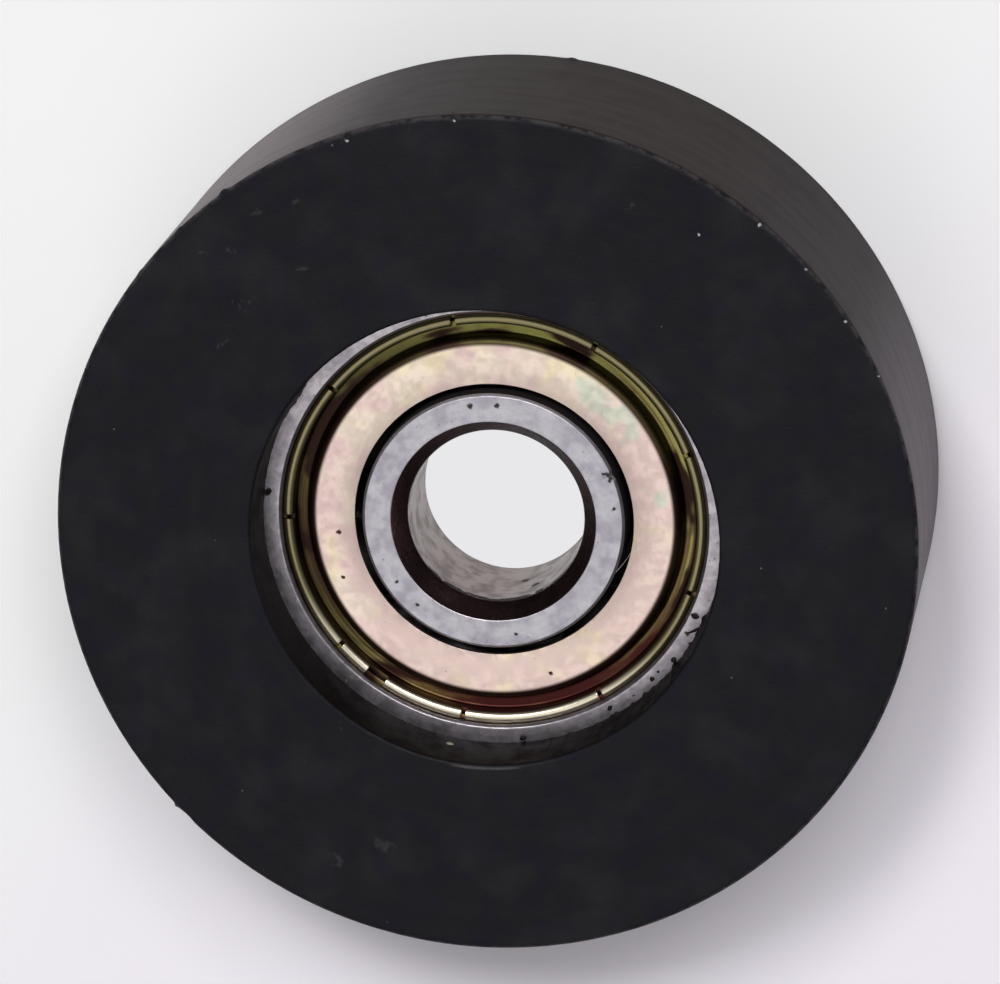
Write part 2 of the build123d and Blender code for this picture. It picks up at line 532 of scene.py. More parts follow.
class Effects:
    """Builds each shared node group once. Sizes in a group are in millimetres."""

    def __init__(self) -> None:
        """Begins with no group built."""
        self.built: dict[Effect, NodeTree] = {}

    def tree(self, effect: Effect) -> NodeTree:
        """The effect's node group, made on its first use.

        Args:
            effect: The effect, whose name is also that of the method that builds it.

        Returns:
            The node group.
        """
        if effect not in self.built:
            self.built[effect] = getattr(self, effect.value)()
        return self.built[effect]

    def start(
        self, effect: Effect, takes: dict[str, Value], gives: dict[str, str]
    ) -> tuple[Graph, Sockets, Sockets]:
        """Begins a node group.

        Args:
            effect: The effect that the group makes.
            takes: The inputs and their usual values, three numbers for a vector.
            gives: The outputs and their kinds, Float or Vector.

        Returns:
            The group's graph, what its inputs bring, and where its outputs are fed.
        """
        tree = bpy.data.node_groups.new(effect.value, "ShaderNodeTree")
        for label, usual in takes.items():
            kind = "NodeSocketVector" if isinstance(usual, tuple) else "NodeSocketFloat"
            socket = tree.interface.new_socket(name=label, in_out="INPUT", socket_type=kind)
            socket.default_value = usual
        for label, kind in gives.items():
            tree.interface.new_socket(name=label, in_out="OUTPUT", socket_type="NodeSocket" + kind)
        given = tree.nodes.new("NodeGroupInput").outputs
        return Graph(tree, self), given, tree.nodes.new("NodeGroupOutput").inputs

    def wheel_place(self) -> NodeTree:
        """A place in millimetres, its radius and height, and the direction out from the axis.

        Returns:
            The node group.
        """
        gives = {"Millimetres": "Vector", "Radius": "Float", "Height": "Float", "Out": "Vector"}
        graph, given, result = self.start(Effect.WHEEL_PLACE, {"Place": ORIGIN}, gives)
        place = graph.scaled(given["Place"], 1 / MM)
        level = graph.vector("MULTIPLY", place, (1, 1, 0))[0]
        graph.feed(result["Millimetres"], place)
        graph.feed(result["Radius"], graph.vector("LENGTH", level)[1])
        graph.feed(result["Height"], graph.add("SeparateXYZ", {0: place}).outputs[2])
        graph.feed(result["Out"], graph.vector("NORMALIZE", level)[0])
        return graph.tree

    def turned_lines(self) -> NodeTree:
        """Fine lines round the axis, as turning or grinding leaves them.

        Returns:
            The node group.
        """
        takes = {"Place": ORIGIN, "Lines": 8.0, "Change": 2.0, "Detail": 3.0}
        graph, given, result = self.start(Effect.TURNED_LINES, takes, {"Value": "Float"})
        where = graph.effect(Effect.WHEEL_PLACE, {"Place": given["Place"]})
        lean = 0.73  # what a millimetre of height counts for, against one of radius
        across = graph.maths("ADD", where["Radius"], graph.times(where["Height"], lean))
        across = graph.add("CombineXYZ", {2: graph.times(across, given["Lines"])}).outputs[0]
        around = graph.scaled(where["Out"], given["Change"])
        place = graph.vector("ADD", around, across)[0]
        graph.feed(result["Value"], graph.noise(place, 1.0, given["Detail"]))
        return graph.tree

    def grain(self) -> NodeTree:
        """Fine even roughness, with sharp pits in it.

        Returns:
            The node group.
        """
        takes = {"Place": ORIGIN, "Scale": 6.0, "Pits": 0.3}
        graph, given, result = self.start(Effect.GRAIN, takes, {"Value": "Float"})
        place = graph.scaled(given["Place"], 1 / MM)
        soft = graph.noise(place, given["Scale"], detail=1.0, rough=0.6)
        coarse = graph.noise(place, graph.times(given["Scale"], 0.7), detail=0.0)
        pits = graph.times(graph.step(coarse, low=0.38, high=0.2), given["Pits"])
        graph.feed(result["Value"], graph.maths("SUBTRACT", soft, pits))
        return graph.tree

    def specks(self) -> NodeTree:
        """Small scattered specks of dust or dirt, in some of the cells of a pattern.

        Returns:
            The node group.
        """
        takes = {"Place": ORIGIN, "Cells": 2.0, "Size": 0.12, "Share": 0.2}
        graph, given, result = self.start(Effect.SPECKS, takes, {"Mask": "Float"})
        place = graph.scaled(given["Place"], 1 / MM)
        cells = graph.add("TexVoronoi", {"Vector": place, "Scale": given["Cells"]}).outputs
        wobble = graph.maths("ADD", graph.noise(place, 9.0, detail=0.0), 0.5)
        distance = graph.times(cells["Distance"], wobble)
        near = graph.step(distance, low=given["Size"], high=graph.times(given["Size"], 0.5))
        chance = graph.add("SeparateColor", {0: cells["Color"]}).outputs[0]
        chosen = graph.maths("LESS_THAN", chance, given["Share"])
        graph.feed(result["Mask"], graph.times(near, chosen))
        return graph.tree

    def blotches(self) -> NodeTree:
        """Soft uneven patches.

        Returns:
            The node group.
        """
        takes = {"Place": ORIGIN, "Scale": 0.5, "Low": 0.45, "High": 0.65, "Seed": ORIGIN}
        graph, given, result = self.start(Effect.BLOTCHES, takes, {"Mask": "Float"})
        place = graph.scaled(given["Place"], 1 / MM)
        moved = graph.vector("ADD", place, given["Seed"])[0]
        value = graph.noise(moved, given["Scale"], detail=2.0, rough=0.6)
        graph.feed(result["Mask"], graph.step(value, given["Low"], given["High"]))
        return graph.tree

    def spot(self) -> NodeTree:
        """One mark round a centre, on a place in millimetres that RAGGED has made uneven.

        Returns:
            The node group.
        """
        takes = {"Ragged": ORIGIN, "Centre": ORIGIN, "Size": 0.3}
        graph, given, result = self.start(Effect.SPOT, takes, {"Mask": "Float"})
        away = graph.vector("DISTANCE", given["Ragged"], given["Centre"])[1]
        share = graph.maths("DIVIDE", away, given["Size"])
        graph.feed(result["Mask"], graph.step(share, low=1.0, high=0.45))
        return graph.tree

    def ragged(self) -> NodeTree:
        """A place in millimetres pushed about, so that what is drawn on it has uneven edges.

        Returns:
            The node group.
        """
        takes = {"Place": ORIGIN, "Scale": 5.0, "Push": 0.2}
        graph, given, result = self.start(Effect.RAGGED, takes, {"Vector": "Vector"})
        place = graph.scaled(given["Place"], 1 / MM)
        inputs = {"Vector": place, "Scale": given["Scale"], "Detail": 1.0}
        colour = graph.add("TexNoise", inputs).outputs[1]
        even = graph.vector("SUBTRACT", colour, (0.5, 0.5, 0.5))[0]
        push = graph.scaled(even, given["Push"])
        graph.feed(result["Vector"], graph.vector("ADD", place, push)[0])
        return graph.tree

    def ring(self) -> NodeTree:
        """A band that follows a circular edge, such as a worn or dirty one.

        Returns:
            The node group.
        """
        takes = {"Place": ORIGIN, "Radius": 10.0, "Height": 0.0, "Width": 0.2, "Breaks": 0.5}
        graph, given, result = self.start(Effect.RING, takes, {"Mask": "Float"})
        where = graph.effect(Effect.WHEEL_PLACE, {"Place": given["Place"]})
        off = graph.maths("SUBTRACT", where["Radius"], given["Radius"])
        over = graph.maths("SUBTRACT", where["Height"], given["Height"])
        offset = graph.add("CombineXYZ", {0: off, 1: over}).outputs[0]
        near = graph.step(graph.vector("LENGTH", offset)[1], low=given["Width"], high=0.0)
        breaks = graph.noise(where["Millimetres"], 1.7, detail=3.0, rough=0.7)
        kept = graph.step(breaks, low=graph.times(given["Breaks"], 0.75), high=0.6)
        graph.feed(result["Mask"], graph.times(near, kept))
        return graph.tree

    def sector(self) -> NodeTree:
        """A part of the turn round the axis, strongest in one direction.

        Returns:
            The node group.
        """
        takes = {"Place": ORIGIN, "Towards": (1.0, 0.0, 0.0), "From": 0.0, "Full": 1.0}
        graph, given, result = self.start(Effect.SECTOR, takes, {"Mask": "Float"})
        where = graph.effect(Effect.WHEEL_PLACE, {"Place": given["Place"]})
        facing = graph.vector("DOT_PRODUCT", where["Out"], given["Towards"])[1]
        graph.feed(result["Mask"], graph.step(facing, given["From"], given["Full"]))
        return graph.tree


@dataclass(frozen=True)
class Mark:
    """A mark that the real wheel carries, by where its middle lies."""

    x: float
    y: float
    z: float
    size: float


def marks_at(height: float, *marks: tuple[float, float, float]) -> tuple[Mark, ...]:
    """Marks that all lie at one height, each by its x, its y and its size."""
    return tuple(Mark(x, y, height, size) for x, y, size in marks)


class Finish:
    """What every finish shares: a material with one Principled shader and object coordinates."""

    def __init__(self, name: str, effects: Effects) -> None:
        """Begins a material.

        Args:
            name: Its name.
            effects: The shared effects.
        """
        self.material = bpy.data.materials.new(name)
        self.graph = Graph.of(self.material, effects)
        self.place = self.graph.add("TexCoord", {}).outputs["Object"]

    def close(self, sockets: Inputs) -> Material:
        """Adds the shader and the output.

        Args:
            sockets: Values or sockets for the shader's inputs.

        Returns:
            The finished material.
        """
        shader = self.graph.add("BsdfPrincipled", sockets)
        self.graph.add("OutputMaterial", {"Surface": shader.outputs[0]})
        return self.material

    def over(self, colour: Value, other: Colour, mask: Socket, share: float) -> Socket:
        """A colour with a share of another laid over it where a mask shows."""
        return self.graph.mix(self.graph.times(mask, share), colour, other)

    def bump(
        self, height: Socket, depth: float, over: Optional[Socket] = None, strength: float = 1.0
    ) -> Socket:
        """A normal from a height.

        Args:
            height: The height, from 0 to 1.
            depth: What that range is in millimetres.
            over: The normal of what lies beneath, if that isn't smooth.
            strength: How far the height counts.

        Returns:
            The normal.
        """
        inputs = {"Height": height, "Strength": strength, "Distance": depth * MM}
        if over is not None:
            inputs["Normal"] = over
        return self.graph.add("Bump", inputs).outputs[0]

    def effect(self, effect: Effect, **values: Value) -> Socket:
        """One of the shared effects, laid on the piece."""
        return self.graph.effect(effect, {"Place": self.place, **values})[0]

    def blotches(self, scale: float, low: float, high: float, seed: float = 0.0) -> Socket:
        """A mask of soft patches."""
        return self.effect(Effect.BLOTCHES, Scale=scale, Low=low, High=high, Seed=(seed, 0.0, 0.0))

    def specks(self, cells: float, size: float, share: float) -> Socket:
        """A mask of scattered specks."""
        return self.effect(Effect.SPECKS, Cells=cells, Size=size, Share=share)

    def lines(self, count: float, change: float, detail: float) -> Socket:
        """Turned lines, so many to a millimetre, which change along their way."""
        return self.effect(Effect.TURNED_LINES, Lines=count, Change=change, Detail=detail)

    def grain(self, scale: float, pits: float) -> Socket:
        """Fine roughness."""
        return self.effect(Effect.GRAIN, Scale=scale, Pits=pits)

    def ring(self, radius: float, height: float, width: float, breaks: float) -> Socket:
        """A mask along a circular edge."""
        return self.effect(Effect.RING, Radius=radius, Height=height, Width=width, Breaks=breaks)

    def sector(self, turn_deg: float, start: float, full: float) -> Socket:
        """A mask towards one side, by the cosine of the angle at which it starts and is full."""
        return self.effect(Effect.SECTOR, Towards=direction(turn_deg), From=start, Full=full)

    def marks(self, marks: Sequence[Mark], scale: float = 6.0, push: float = 0.2) -> Socket:
        """One mask for several marks.

        Args:
            marks: Where they are and how large.
            scale: How fine their edges' unevenness is.
            push: How far their edges are pushed about, in millimetres.

        Returns:
            The mask.
        """
        ragged = self.effect(Effect.RAGGED, Scale=scale, Push=push)
        spots = []
        for mark in marks:
            inputs = {"Ragged": ragged, "Centre": (mark.x, mark.y, mark.z), "Size": mark.size}
            spots.append(self.graph.effect(Effect.SPOT, inputs)[0])
        return reduce(self.graph.either, spots)


@dataclass(frozen=True)
class PaintedSheenSide:
    """A painted sheen: one side of the tread or the recess made lighter, strongest in one direction, for
    the light it reflects there.
    """

    turn_deg: float
    start: float  # the cosine of the angle at which it begins
    colour: Colour


@dataclass(frozen=True)
class MouldedPlastic:
    """The wheel's black plastic, with its own values for the sides, the tread and the recess."""

    name: str
    colour: Colour
    smudge_colour: Colour
    tint_colour: Colour
    smudge_share: float
    roughness: float
    sheen_level: float
    grain_depth: float
    line_depth: float = 0.0
    rough_change: float = 0.07
    tint_share: float = 0.35
    line_share: float = 0.2
    line_count: float = 1.6
    line_change: float = 0.9
    painted_sheen_sides: tuple[PaintedSheenSide, ...] = ()
    dust: tuple[Mark, ...] = ()
    dust_colour: Colour = seen(176, 178, 176)
    faint: tuple[Mark, ...] = ()
    faint_colour: Colour = seen(74, 68, 68)
    mouth_highlight: Optional[tuple[float, float]] = None  # turn and radius of a short painted highlight on the mouth's edge
    worn_edge: bool = False
    worn_inset: float = 0.05  # from the tread's corner to the middle of its worn edge
    worn_and_highlight_colour: Colour = seen(92, 86, 86)

    def build(self, effects: Effects) -> Material:
        """Makes the material.

        Args:
            effects: The shared effects.

        Returns:
            The material.
        """
        finish = Finish(self.name, effects)
        lines = finish.lines(self.line_count, self.line_change, detail=2.0)
        patches = finish.blotches(scale=0.8, low=0.42, high=0.66, seed=7.0)
        smoothest = self.roughness - self.rough_change
        roughest = self.roughness + self.rough_change
        normal = finish.bump(finish.grain(scale=7.0, pits=0.5), self.grain_depth)
        if self.line_depth:
            normal = finish.bump(lines, self.line_depth, over=normal)
        return finish.close(
            {
                "Base Color": self.worn(finish, self.moulded(finish, lines, patches)),
                "Roughness": finish.graph.between(patches, smoothest, roughest),
                "Specular IOR Level": self.sheen_level,
                "Normal": normal,
            }
        )

    def moulded(self, finish: Finish, lines: Socket, patches: Socket) -> Socket:
        """The plastic's colour, with smudges, streaks, a drifting tint and its painted sheen towards some
        sides.

        Args:
            finish: The material in the making.
            lines: Its turned lines.
            patches: Its soft patches.

        Returns:
            The colour.
        """
        graph = finish.graph
        smudges = graph.times(finish.blotches(scale=0.3, low=0.42, high=0.7), self.smudge_share)
        streaks = graph.times(graph.step(lines, low=0.38, high=0.68), self.line_share)
        colour = graph.mix(graph.either(smudges, streaks), self.colour, self.smudge_colour)
        colour = finish.over(colour, self.tint_colour, patches, self.tint_share)
        # painted sheen: a lighter colour towards each side named
        for sheen_side in self.painted_sheen_sides:
            side = finish.sector(sheen_side.turn_deg, sheen_side.start, 1.0)
            uneven = graph.between(graph.step(lines, low=0.3, high=0.65), 0.75, 1.0)
            colour = graph.mix(graph.times(side, uneven), colour, sheen_side.colour)
        return colour

    def worn(self, finish: Finish, colour: Socket) -> Socket:
        """A colour with what use has left on it: faint spots, dust and worn edges; and a painted highlight
        on the mouth's edge.

        Args:
            finish: The material in the making.
            colour: The colour as moulded.

        Returns:
            The colour.
        """
        graph = finish.graph
        if self.faint:
            faint = finish.marks(self.faint, scale=2.5, push=1.2)
            colour = finish.over(colour, self.faint_colour, faint, share=0.26)
        dust = graph.times(finish.specks(cells=0.9, size=0.05, share=0.16), 0.16)
        if self.dust:
            dust = graph.either(dust, graph.times(finish.marks(self.dust), 0.75))
        colour = graph.mix(dust, colour, self.dust_colour)
        # painted highlight: a short pale line on the mouth's edge
        if self.mouth_highlight:
            turn_deg, radius = self.mouth_highlight
            line = finish.ring(radius, PACKED.wheel_top, width=0.1, breaks=0.2)
            line = graph.times(line, finish.sector(turn_deg, start=0.985, full=0.997))
            colour = finish.over(colour, self.worn_and_highlight_colour, line, share=0.6)
        if self.worn_edge:
            radius = PACKED.tread_radius - self.worn_inset
            height = PACKED.wheel_top - self.worn_inset
            edge = finish.ring(radius, height, width=0.16, breaks=0.5)
            colour = finish.over(colour, self.worn_and_highlight_colour, edge, share=0.4)
        return colour


@dataclass(frozen=True)
class GroundSteel:
    """Ground bearing steel: grey, finely lined round the axis, with specks of dirt."""

    name: str
    colour: Colour
    tint: Colour
    roughness: float
    line_count: float
    line_depth: float
    dirt: tuple[Mark, ...] = ()
    dirt_colour: Colour = seen(40, 34, 34)
    speck_share: float = 0.35
    speck_strength: float = 0.6
    line_change: float = 1.5
    line_shade: float = 0.3
    grain_depth: float = 0.004
    mottle: float = 0.0
    bare: float = 1.0  # how far the steel is bare metal, and not under grease
    stain_and_shade: Optional[tuple[float, float, float]] = None  # turn, height and width of it in the bore

    def build(self, effects: Effects) -> Material:
        """Makes the material.

        Args:
            effects: The shared effects.

        Returns:
            The material.
        """
        finish = Finish(self.name, effects)
        graph = finish.graph
        lines = finish.lines(self.line_count, self.line_change, detail=3.0)
        patches = finish.blotches(scale=1.1, low=0.38, high=0.66)
        colour = graph.mix(patches, self.colour, self.tint)
        shade = graph.step(lines, low=0.62, high=0.35)
        colour = finish.over(colour, darker(self.colour, 0.55), shade, self.line_shade)
        if self.mottle:
            mottled = finish.blotches(scale=2.6, low=0.42, high=0.6, seed=9.0)
            colour = finish.over(colour, darker(self.tint, 0.4), mottled, self.mottle)
        dirt = self.dirty(finish)
        rough = graph.between(patches, self.roughness, self.roughness + 0.1)
        normal = finish.bump(lines, self.line_depth)
        return finish.close(
            {
                "Base Color": graph.mix(dirt, colour, self.dirt_colour),
                "Metallic": graph.between(dirt, self.bare, 0.2 * self.bare) if self.bare else 0.0,
                "Roughness": graph.between(dirt, rough, 0.7),
                "Normal": finish.bump(finish.grain(scale=5.0, pits=0.3), self.grain_depth, normal),
            }
        )

    def dirty(self, finish: Finish) -> Socket:
        """Where the steel is dirty: scattered specks, its own marks, and a band in the bore that is partly
        stain and partly painted shade.

        Args:
            finish: The material in the making.

        Returns:
            The mask.
        """
        graph = finish.graph
        specks = finish.specks(cells=3.2, size=0.16, share=self.speck_share)
        dirt = graph.times(specks, self.speck_strength)
        if self.dirt:
            dirt = graph.either(dirt, finish.marks(self.dirt))
        # a band below the bore's front edge: partly stain, partly painted shade
        if self.stain_and_shade:
            turn_deg, height, width = self.stain_and_shade
            band = finish.ring(BORE_RADIUS, height, width, breaks=0.45)
            band = graph.times(band, finish.sector(turn_deg, start=0.35, full=0.9))
            dirt = graph.either(dirt, graph.step(band, low=0.1, high=0.4))
        return dirt


def shaded_grease(name: str) -> GroundSteel:
    """Steel that is dark with grease and painted darker still as shade, for the insides of the bearing."""
    # painted shade: near black and not metallic
    dark = {"colour": seen(34, 27, 28), "tint": seen(24, 18, 20), "roughness": 0.6, "bare": 0.0}
    return GroundSteel(name, line_count=3.0, line_depth=0.001, **dark)


@dataclass(frozen=True)
class ZincPlate:
    """Yellow iridescent zinc on pressed sheet, whose tint drifts over the flat and in the trough, with
    painted reflections and shade in the trough and a painted highlight on the curl.
    """

    name: str
    flat_edge: float
    curl_edge: float
    curl_height: float
    cream: Colour = seen(218, 202, 186)
    pink: Colour = seen(209, 183, 178)
    yellow: Colour = seen(226, 214, 160)
    green: Colour = seen(176, 200, 180)
    olive: Colour = seen(150, 142, 84)
    painted_reflection_moss: Colour = seen(148, 152, 84)
    bronze: Colour = seen(98, 78, 54)
    painted_shade_brown: Colour = seen(46, 32, 27)
    painted_shade_maroon: Colour = seen(78, 38, 36)
    painted_highlight_gold: Colour = seen(222, 212, 188)
    curl_plating: Colour = seen(128, 119, 88)
    dirt_colour: Colour = seen(70, 52, 46)
    spots: tuple[Mark, ...] = ()
    green_places: tuple[Mark, ...] = ()

    def build(self, effects: Effects) -> Material:
        """Makes the material.

        Args:
            effects: The shared effects.

        Returns:
            The material.
        """
        finish = Finish(self.name, effects)
        graph = finish.graph
        where = graph.effect(Effect.WHEEL_PLACE, {"Place": finish.place})
        radius = where["Radius"]
        level = graph.maths("ABSOLUTE", where["Height"])
        lines = finish.lines(count=4.2, change=0.9, detail=2.0)
        in_trough = graph.step(radius, self.flat_edge - 0.15, self.flat_edge + 0.05)
        on_curl = graph.times(
            graph.step(level, self.curl_height - 0.3, self.curl_height - 0.08),
            graph.step(radius, self.curl_edge - 0.1, self.curl_edge + 0.05),
        )
        dirt = graph.times(finish.specks(cells=2.2, size=0.08, share=0.25), 0.5)
        if self.spots:
            dirt = graph.either(dirt, finish.marks(self.spots))
        colour = graph.mix(in_trough, self.flat(finish), self.trough(finish, lines, radius))
        # painted highlight: the curl lighter towards the bottom, where it catches the light
        curl = graph.mix(finish.sector(-98.0, start=0.45, full=0.9), self.curl_plating, self.painted_highlight_gold)
        colour = graph.mix(on_curl, colour, curl)
        rough = graph.between(finish.blotches(scale=2.0, low=0.35, high=0.65, seed=2.0), 0.3, 0.42)
        rough = graph.between(in_trough, rough, 0.46)
        rough = graph.between(on_curl, rough, 0.3)
        normal = finish.bump(finish.grain(scale=4.0, pits=0.3), 0.004)
        return finish.close(
            {
                "Base Color": graph.mix(dirt, colour, self.dirt_colour),
                "Metallic": 1.0,
                "Roughness": graph.between(dirt, rough, 0.7),
                "Normal": finish.bump(lines, 0.003, over=normal, strength=0.6),
            }
        )

    def flat(self, finish: Finish) -> Socket:
        """The flat's colour: cream that drifts to pink, with yellow patches and green places.

        Args:
            finish: The material in the making.

        Returns:
            The colour.
        """
        graph = finish.graph
        low_side = finish.sector(-75.0, start=0.1, full=0.9)
        pinker = graph.either(low_side, finish.sector(5.0, start=0.4, full=0.95))
        pinker = graph.between(pinker, finish.blotches(scale=0.35, low=0.42, high=0.62), 0.75)
        colour = graph.mix(pinker, self.cream, self.pink)
        patches = finish.blotches(scale=0.5, low=0.52, high=0.72, seed=11.0)
        colour = finish.over(colour, self.yellow, patches, share=0.4)
        if self.green_places:
            places = finish.marks(self.green_places, scale=0.8, push=1.6)
            colour = finish.over(colour, self.green, places, share=0.5)
        return colour

    def trough(self, finish: Finish, lines: Socket, radius: Socket) -> Socket:
        """The trough's colour: olive and bronze lines, with painted dark reflection bands, a painted
        reflection at the top, painted shade at the left and bottom, and a painted shadow below the flat's
        edge.

        Args:
            finish: The material in the making.
            lines: Its turned lines.
            radius: How far a place is from the axis.

        Returns:
            The colour.
        """
        graph = finish.graph
        bands = finish.lines(count=1.1, change=3.4, detail=2.0)
        colour = graph.mix(graph.step(lines, low=0.4, high=0.58), self.olive, self.bronze)
        # painted dark reflection bands round the trough
        colour = graph.mix(graph.step(bands, low=0.42, high=0.56), colour, self.painted_shade_brown)
        off_bands = graph.step(bands, low=0.52, high=0.38)
        # painted reflection: the trough lighter towards the top, between the dark bands
        top_reflection = graph.times(finish.sector(105.0, start=0.3, full=0.9), off_bands)
        colour = finish.over(colour, self.painted_reflection_moss, top_reflection, share=0.7)
        # painted shade: darker towards the left, and maroon towards the bottom
        colour = finish.over(colour, self.painted_shade_brown, finish.sector(168.0, start=0.2, full=0.9), share=0.75)
        colour = finish.over(colour, self.painted_shade_maroon, finish.sector(-75.0, start=0.55, full=0.95), share=0.8)
        # painted shadow below the flat's edge, on the trough's inner wall
        wall = graph.step(radius, self.flat_edge + 0.6, self.flat_edge + 0.3)
        return finish.over(colour, self.painted_shade_brown, wall, share=0.85)


class SubAssembly(ABC):
    """Pieces of the wheel that are made together."""

    @abstractmethod
    def build(self, effects: Effects) -> list[Piece]:
        """Makes or dresses the pieces.

        Args:
            effects: The shared effects.

        Returns:
            The pieces.
        """


@dataclass(frozen=True)
class Nick:
    """A dent in a circular edge, or a burr on it where the depth is negative."""

    turn_deg: float
    height: float
    depth: float
    width_deg: float


@dataclass(frozen=True)
class Flash:
    """A stretch of the lip where thin plastic has run in over the ring."""

    turn_deg: float
    reach: float
    width_deg: float


@dataclass(frozen=True)
class WheelMoulding(SubAssembly):
    """The black plastic moulding, with the small faults of its edges."""

    lip_radius: float = 10.45
    mouth_radius: float = 10.502
    tread_edge: float = 0.25
    mouth_edge: float = 0.15
    ring_chamfer: float = 0.3
    flash_height: float = 0.06
    nick_reach: float = 0.5
    mouth_reach: float = 0.4  # how far round the mouth's edge its unevenness goes
    sink_share: float = 0.6  # of a nick's depth that its edge also sinks
    rim_ripple: float = 0.01  # unevenness of the tread's edge
    mouth_ripple: float = 0.03  # and of the mouth's
    lip_ripple: float = 0.03  # and of the lip's
    wall_slope: float = 0.3  # a face whose normal rises less than this is the recess's wall
    tread_slope: float = 0.45  # and less than this, the tread
    nicks: tuple[Nick, ...] = (
        Nick(126.6, 6.5, -0.15, 1.1),
        Nick(129.4, 6.5, 0.05, 2.2),
        Nick(134.6, 6.5, -0.06, 0.7),
        Nick(142.6, 6.5, -0.05, 0.8),
        Nick(-136.9, 6.5, -0.11, 0.6),
        Nick(-134.8, 6.5, 0.05, 1.6),
        Nick(108.4, 6.5, 0.08, 0.6),
        Nick(93.8, 6.5, 0.08, 0.5),
        Nick(78.5, 6.5, 0.05, 0.5),
        Nick(58.0, 6.5, 0.06, 0.5),
        Nick(50.8, 6.5, 0.08, 0.5),
        Nick(42.3, 6.5, 0.08, 0.5),
        Nick(34.0, 6.5, 0.06, 0.5),
        Nick(83.3, -6.5, -0.1, 0.9),
        Nick(-20.0, -6.5, 0.08, 0.8),
        Nick(-160.0, -6.5, 0.1, 1.0),
    )
    flashes: tuple[Flash, ...] = (
        Flash(148.0, 0.18, 9.0),
        Flash(128.0, 0.16, 8.0),
        Flash(-24.0, 0.22, 3.0),
        Flash(-31.0, 0.12, 4.0),
        Flash(-37.0, 0.16, 2.5),
        Flash(-45.0, 0.14, 3.0),
        Flash(-27.5, 0.1, 0.9),
        Flash(-33.5, 0.13, 1.1),
        Flash(-41.0, 0.12, 0.9),
        Flash(-48.5, 0.13, 1.1),
        Flash(-52.5, 0.1, 0.8),
        Flash(-58.0, 0.12, 2.5),
        Flash(-63.0, 0.1, 0.9),
        Flash(-70.0, 0.08, 1.2),
        Flash(-82.0, 0.08, 2.0),
        Flash(175.0, 0.08, 2.5),
    )

    def corners(self) -> list[Corner]:
        """The outline's corners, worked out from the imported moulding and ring.

        Returns:
            The corners in order.
        """
        front = [
            Corner(PACKED.ring_radius, PACKED.ring_top - self.ring_chamfer),
            Corner(PACKED.ring_radius - self.ring_chamfer, PACKED.ring_top),
            Corner(self.lip_radius, PACKED.ring_top),
            Corner(self.lip_radius + 0.001, PACKED.ring_top + self.flash_height),
            Corner(self.mouth_radius, PACKED.wheel_top, self.mouth_edge),
            Corner(PACKED.tread_radius - 2 * self.nick_reach, PACKED.wheel_top),
            Corner(PACKED.tread_radius, PACKED.wheel_top, self.tread_edge, 6),
            Corner(PACKED.tread_radius, PACKED.wheel_top - 2 * self.nick_reach),
        ]
        return both_ends(front)

    def worn(self, radius: float, turn: float, height: float) -> tuple[float, float]:
        """Where a point of the moulding lies, with the faults of its edges.

        Args:
            radius: The point's radius as turned.
            turn: Its turn round the axis in degrees.
            height: Its height.

        Returns:
            The radius and height it has.
        """
        level = abs(height)
        top = PACKED.wheel_top
        out = Vector(direction(turn))
        if radius < self.lip_radius + 0.01 and level < PACKED.ring_top + 1.2 * self.flash_height:
            return radius - self.flash_reach(turn, height, out), height
        near_tread_edge = fade(math.hypot(radius - PACKED.tread_radius, level - top), self.nick_reach)
        if near_tread_edge > 0:
            ripple = self.rim_ripple * max(wander(out, 40, height), 0.0)
            dent = sum(
                nick.depth * fade(turn_between(turn, nick.turn_deg), nick.width_deg)
                for nick in self.nicks
                if nick.height * height > 0
            )
            sink = near_tread_edge * max(dent, 0.0) * self.sink_share
            return radius - near_tread_edge * (ripple + dent), height - math.copysign(sink, height)
        near_mouth = fade(math.hypot(radius - self.mouth_radius, level - top), self.mouth_reach)
        ripple = self.mouth_ripple * abs(wander(out, 30, height, start=3))
        return radius + near_mouth * ripple, height

    def flash_reach(self, turn: float, height: float, out: Vector) -> float:
        """How far the lip's thin edge runs in over the ring at one turn.

        Args:
            turn: The turn in degrees.
            height: The edge's height, which is below zero at the rear.
            out: The direction of the turn.

        Returns:
            The reach.
        """
        fine = self.lip_ripple * abs(wander(out, 90, height, start=5))
        if height < 0:
            return fine
        ragged = 0.5 + 0.9 * wander(out, 55, height)
        reach = sum(
            flash.reach * fade(turn_between(turn, flash.turn_deg), flash.width_deg)
            for flash in self.flashes
        )
        return fine + max(reach * ragged, 0.0)

    def surface(self, radius: float, height: float, normal: Vector) -> int:
        """Which material a face has.

        Args:
            radius: The face's radius.
            height: Its height.
            normal: Its normal.

        Returns:
            0 on the sides, 1 on the tread, 2 in the recesses.
        """
        rise = abs(normal.z)
        if radius < self.mouth_radius:
            return 2
        if radius < self.mouth_radius + self.mouth_edge:
            return 2 if rise < self.wall_slope else 0
        on_rim = radius > PACKED.tread_radius - 2 * self.tread_edge
        return 1 if on_rim and rise < self.tread_slope else 0

